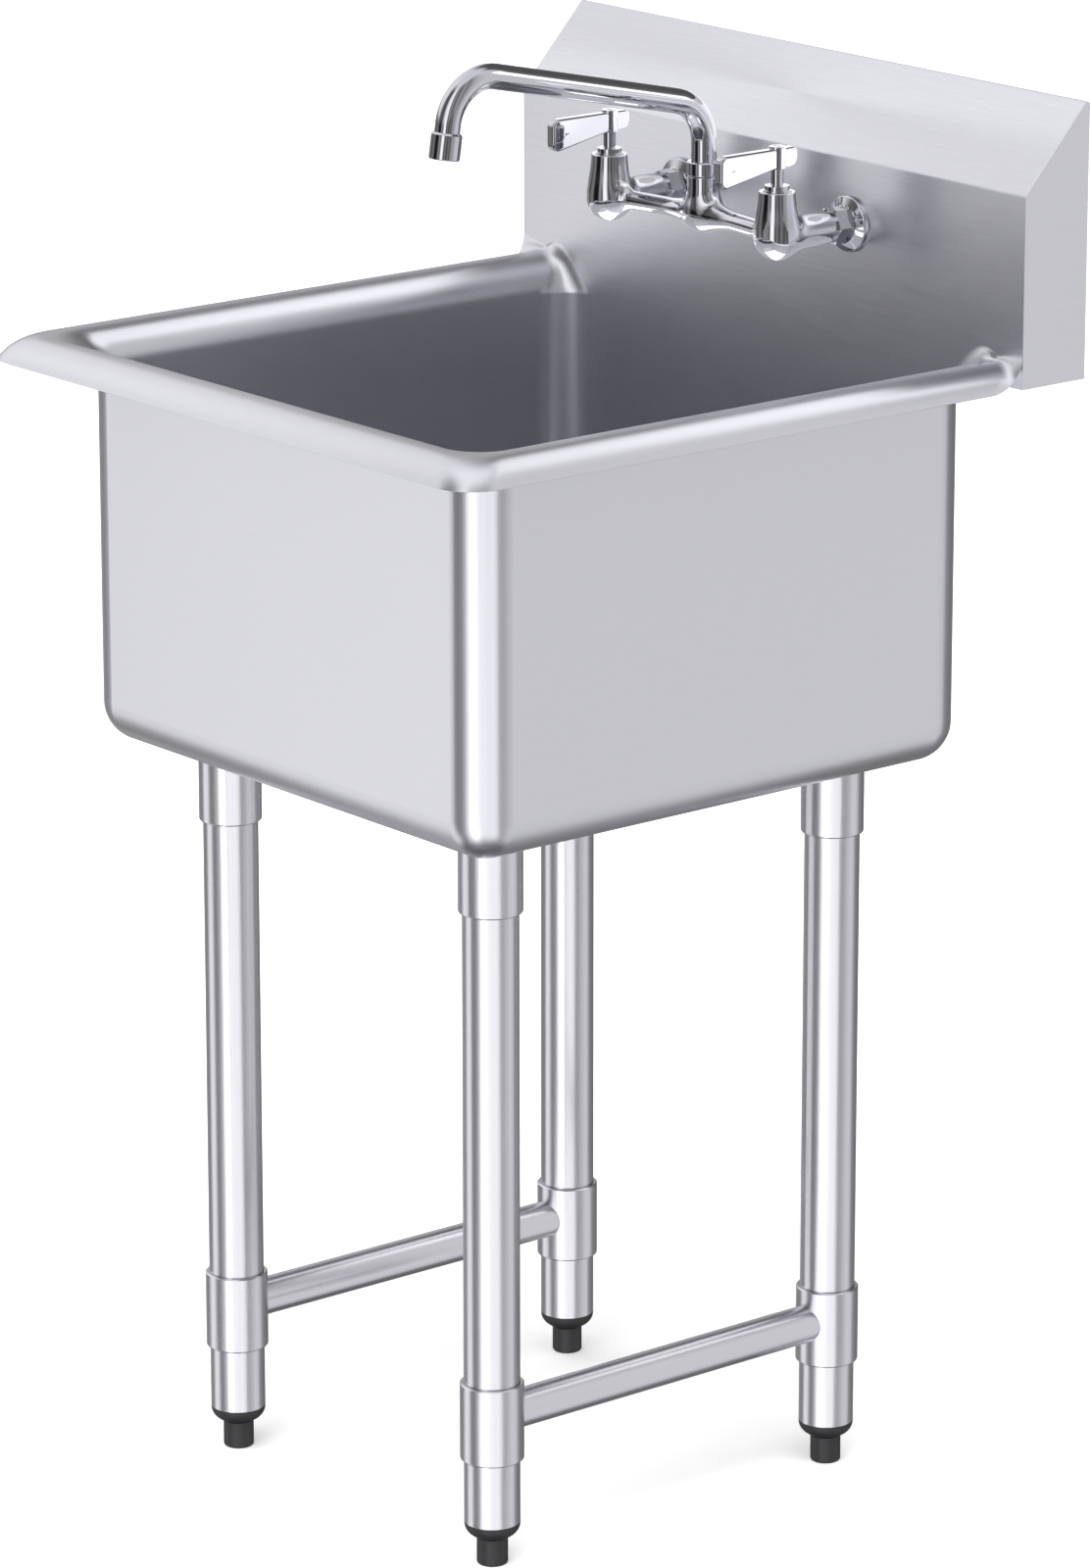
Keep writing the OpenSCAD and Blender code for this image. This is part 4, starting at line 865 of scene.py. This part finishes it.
class SINK_OT_spout(bpy.types.Operator):
    """Bend the swivel spout's tube, with its grooved foot"""
    bl_idname = "sink.spout"
    bl_label = "Spout"

    def execute(self, context):
        s = context.scene.sink_spout
        tap = context.scene.sink_tap
        riser_y = tap_axes(tap)[2]
        neck_top = tap.axis_height + tap.hub_h + tap.throat_h + tap.neck_h
        low_z = neck_top + s.collar
        seat_z = neck_top - tap.seat_depth
        path = spout_path(s, riser_y, tap.axis_height, low_z)

        def foot(rise, radius):
            return (riser_y, seat_z + rise, 0.0), radius

        loop = [foot(s.foot_gap, tap.bore_r), foot(s.foot_gap, s.foot_r)]
        for rise in (s.groove_low, s.groove_high):
            low, high = rise - s.groove_h / 2, rise + s.groove_h / 2
            loop += [foot(low, s.foot_r), foot(low, s.groove_r)]
            loop += [foot(high, s.groove_r), foot(high, s.foot_r)]
        loop += [((riser_y, low_z, 0.0), s.foot_r)]
        loop += [(station, s.tube_r) for station in path]
        loop += [(station, s.tube_r - s.wall) for station in reversed(path[1:])]
        inner_floor = (riser_y, low_z + 2 * s.wall, 0.0)
        loop += [(inner_floor, s.tube_r - s.wall), (inner_floor, tap.bore_r)]
        points = []
        for (y, z, turn), radius in loop:
            for i in range(s.sides):
                a = 2 * math.pi * i / s.sides
                out = radius * math.sin(a)
                points.append((radius * math.cos(a), y + out * math.cos(turn), z + out * math.sin(turn)))
        faces = []
        for j in range(len(loop)):
            k = (j + 1) % len(loop)
            for i in range(s.sides):
                n = (i + 1) % s.sides
                faces.append((j * s.sides + i, j * s.sides + n, k * s.sides + n, k * s.sides + i))
        piece = new_piece("spout_tube", points, faces, chrome_material(), sharp=CRISP)
        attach(piece, "swivel_spout")
        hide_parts("spout")
        return {"FINISHED"}


class SINK_OT_fittings(bpy.types.Operator):
    """Finish the tap's chromed fittings"""
    bl_idname = "sink.fittings"
    bl_label = "Tap fittings"

    def execute(self, context):
        names = ["spout_nut", "aerator"]
        kinds = ("wall_flange_", "union_nut_", "bonnet_", "valve_stem_", "lever_screw_")
        names += [kind + side for kind in kinds for side in SIDES]
        dress(names, chrome_material())
        return {"FINISHED"}


class SINK_OT_studio(bpy.types.Operator):
    """Set up the camera, the pale floor and the soft light"""
    bl_idname = "sink.studio"
    bl_label = "Studio"

    def execute(self, context):
        studio = context.scene.sink_studio
        self.camera(context, studio)
        self.floor(studio)
        self.world(context)
        self.lamp(context, studio)
        self.panels(context)
        context.scene.view_settings.view_transform = "Standard"
        return {"FINISHED"}

    @staticmethod
    def camera(context, studio):
        yaw, pitch, roll = studio.yaw, studio.pitch, studio.roll
        ahead = Vector((-math.sin(yaw) * math.cos(pitch), math.cos(yaw) * math.cos(pitch), math.sin(pitch)))
        right = Vector((math.cos(yaw), math.sin(yaw), 0))
        up = right.cross(ahead)
        right_rolled = right * math.cos(roll) + up * math.sin(roll)
        up_rolled = up * math.cos(roll) - right * math.sin(roll)
        data = bpy.data.cameras.new("photo_camera")
        data.sensor_fit = "VERTICAL"
        data.sensor_height = FILM_HEIGHT
        data.sensor_width = FILM_HEIGHT
        data.lens = FILM_HEIGHT * studio.focal_share
        data.shift_x, data.shift_y = studio.shift
        data.clip_end = VIEW_REACH
        camera = bpy.data.objects.new("photo_camera", data)
        axes = Matrix((right_rolled, up_rolled, -ahead)).transposed().to_4x4()
        camera.matrix_world = Matrix.Translation(Vector(studio.eye)) @ axes
        context.scene.collection.objects.link(camera)
        context.scene.camera = camera

    @staticmethod
    def floor(studio):
        material, graph = new_material("floor_paint")
        cloud = graph.noise(FLOOR_CLOUDS, detail=2.0, roughness=0.5)
        base = graph.mix(cloud, shaded(studio.floor, 0.99), shaded(studio.floor, 1.01))
        glow = {"Emission Color": tuple(studio.floor) + (1.0,), "Emission Strength": studio.floor_glow}
        finish_material(graph, base, 0.9, 0.0, **glow)
        corners = [(x * FLOOR_REACH, y * FLOOR_REACH, 0) for x, y in ((-1, -1), (1, -1), (1, 1), (-1, 1))]
        floor = new_piece("floor", corners, [(0, 1, 2, 3)], material)
        floor.visible_glossy = False
        floor.visible_shadow = False
        floor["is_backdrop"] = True

    @staticmethod
    def world(context):
        """Light that changes round the compass, as a ring of soft boxes and dark screens gives."""
        world = bpy.data.worlds.new("studio_light")
        context.scene.world = world
        world.use_nodes = True
        graph = Graph(world.node_tree)
        ray = graph.node("ShaderNodeTexCoord", output="Generated")
        parts = graph.node("ShaderNodeSeparateXYZ", None, {0: ray})
        x, y, z = (Socket(graph, out) for out in parts.out.node.outputs)
        angle = graph.node("ShaderNodeMath", {"operation": "ARCTAN2"}, {0: x, 1: y * -1.0})
        around = angle * (0.5 / math.pi) + 0.5

        def compass(stops):
            """A ramp round the compass."""
            pairs = sorted((degrees / 360.0 + 0.5, value) for degrees, value in stops)
            return graph.node("ShaderNodeValToRGB", {"stops": pairs}, {"Fac": around})

        def passed(value, band):
            """0 to 1 as a value passes through a band."""
            return graph.node("ShaderNodeMapRange", {"interpolation_type": "SMOOTHSTEP"},
                              {"Value": value, "From Min": band[0], "From Max": band[1]})

        sides = graph.mix(passed(z, SKY_BAND), compass(LEVEL_LIGHT), compass(SKY_LIGHT))
        upper = graph.mix(passed(z, TOP_BAND), sides, TOP_COLOUR)
        colour = graph.mix(passed(z * -1.0, GROUND_BAND), upper, GROUND_COLOUR)
        shader = graph.node("ShaderNodeBackground", None, {"Color": colour, "Strength": 1.0})
        graph.node("ShaderNodeOutputWorld", None, {"Surface": shader})

    @staticmethod
    def lamp(context, studio):
        """A broad soft lamp for the floor, which doesn't show in reflections."""
        data = bpy.data.lights.new("overhead", "SUN")
        data.energy = studio.lamp
        data.angle = studio.lamp_breadth
        lamp = bpy.data.objects.new("overhead", data)
        lamp.rotation_euler = (studio.lamp_tilt, studio.lamp_lean, 0)
        lamp.visible_glossy = False
        context.scene.collection.objects.link(lamp)

    @staticmethod
    def soft_box(context, name, receivers, compass, tilt, size, glow, distance, aim):
        """A panel of light that only some pieces see. It faces its aim from so far off, or lies there."""
        compass, tilt = math.radians(compass), math.radians(tilt)
        data = bpy.data.lights.new(name, "AREA")
        data.shape = "RECTANGLE"
        data.size, data.size_y = size
        data.energy = glow * math.pi * size[0] * size[1]
        lamp = bpy.data.objects.new(name, data)
        level = math.cos(tilt)
        out = Vector((math.sin(compass) * level, -math.cos(compass) * level, math.sin(tilt)))
        lamp.location = Vector(aim) + out * distance
        lamp.rotation_euler = out.to_track_quat("Z", "Y").to_euler()
        lamp.visible_camera = False
        context.scene.collection.objects.link(lamp)
        lamp.light_linking.receiver_collection = receivers

    def panels(self, context):
        """Soft boxes for the satin steel alone and for the chromed tap alone."""
        chrome = chrome_material()
        groups = {name: bpy.data.collections.new(name + "_receivers") for name in ("steel", "tap", "lever")}
        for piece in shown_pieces():
            group = "tap" if chrome in tuple(piece.data.materials) else "steel"
            group = "lever" if piece.name.startswith("lever_blade") else group
            groups[group].objects.link(piece)
        for name, group, compass, tilt, size, glow in SOFT_BOXES:
            self.soft_box(context, name, groups[group], compass, tilt, size, glow, BOX_DISTANCE, BOX_AIM)
        for name, group, compass, tilt, size, glow, place in CLOSE_LIGHTS:
            self.soft_box(context, name, groups[group], compass, tilt, size, glow, 0.0, place)


class SINK_PT_panel(bpy.types.Panel):
    """Lists the sink's pieces and the studio"""
    bl_idname = "SINK_PT_panel"
    bl_label = "Laundry sink"
    bl_space_type = "VIEW_3D"
    bl_region_type = "UI"
    bl_category = "Sink"

    def draw(self, context):
        for operator in STEPS:
            self.layout.operator(operator.bl_idname)
        for group in GROUPS:
            box = self.layout.box()
            settings = getattr(context.scene, group)
            for name in settings.__annotations__:
                box.prop(settings, name)


STEPS = (SINK_OT_bowl, SINK_OT_rolled_rim, SINK_OT_backsplash, SINK_OT_stand, SINK_OT_drain,
         SINK_OT_tap_body, SINK_OT_spout, SINK_OT_levers, SINK_OT_fittings, SINK_OT_studio)
GROUPS = {"sink_rim": RimSizes, "sink_tap": TapSizes, "sink_spout": SpoutSizes, "sink_lever": LeverSizes,
          "sink_finish": FinishSettings, "sink_studio": StudioSettings}


def register():
    for cls in (*GROUPS.values(), *STEPS, SINK_PT_panel):
        bpy.utils.register_class(cls)
    for name, group in GROUPS.items():
        setattr(bpy.types.Scene, name, PointerProperty(type=group))


def unregister():
    for name in GROUPS:
        delattr(bpy.types.Scene, name)
    for cls in (SINK_PT_panel, *reversed(STEPS), *GROUPS.values()):
        bpy.utils.unregister_class(cls)


def main():
    register()
    for step in STEPS:
        getattr(bpy.ops.sink, step.bl_idname.split(".")[1])()


if __name__ == "__main__":
    main()
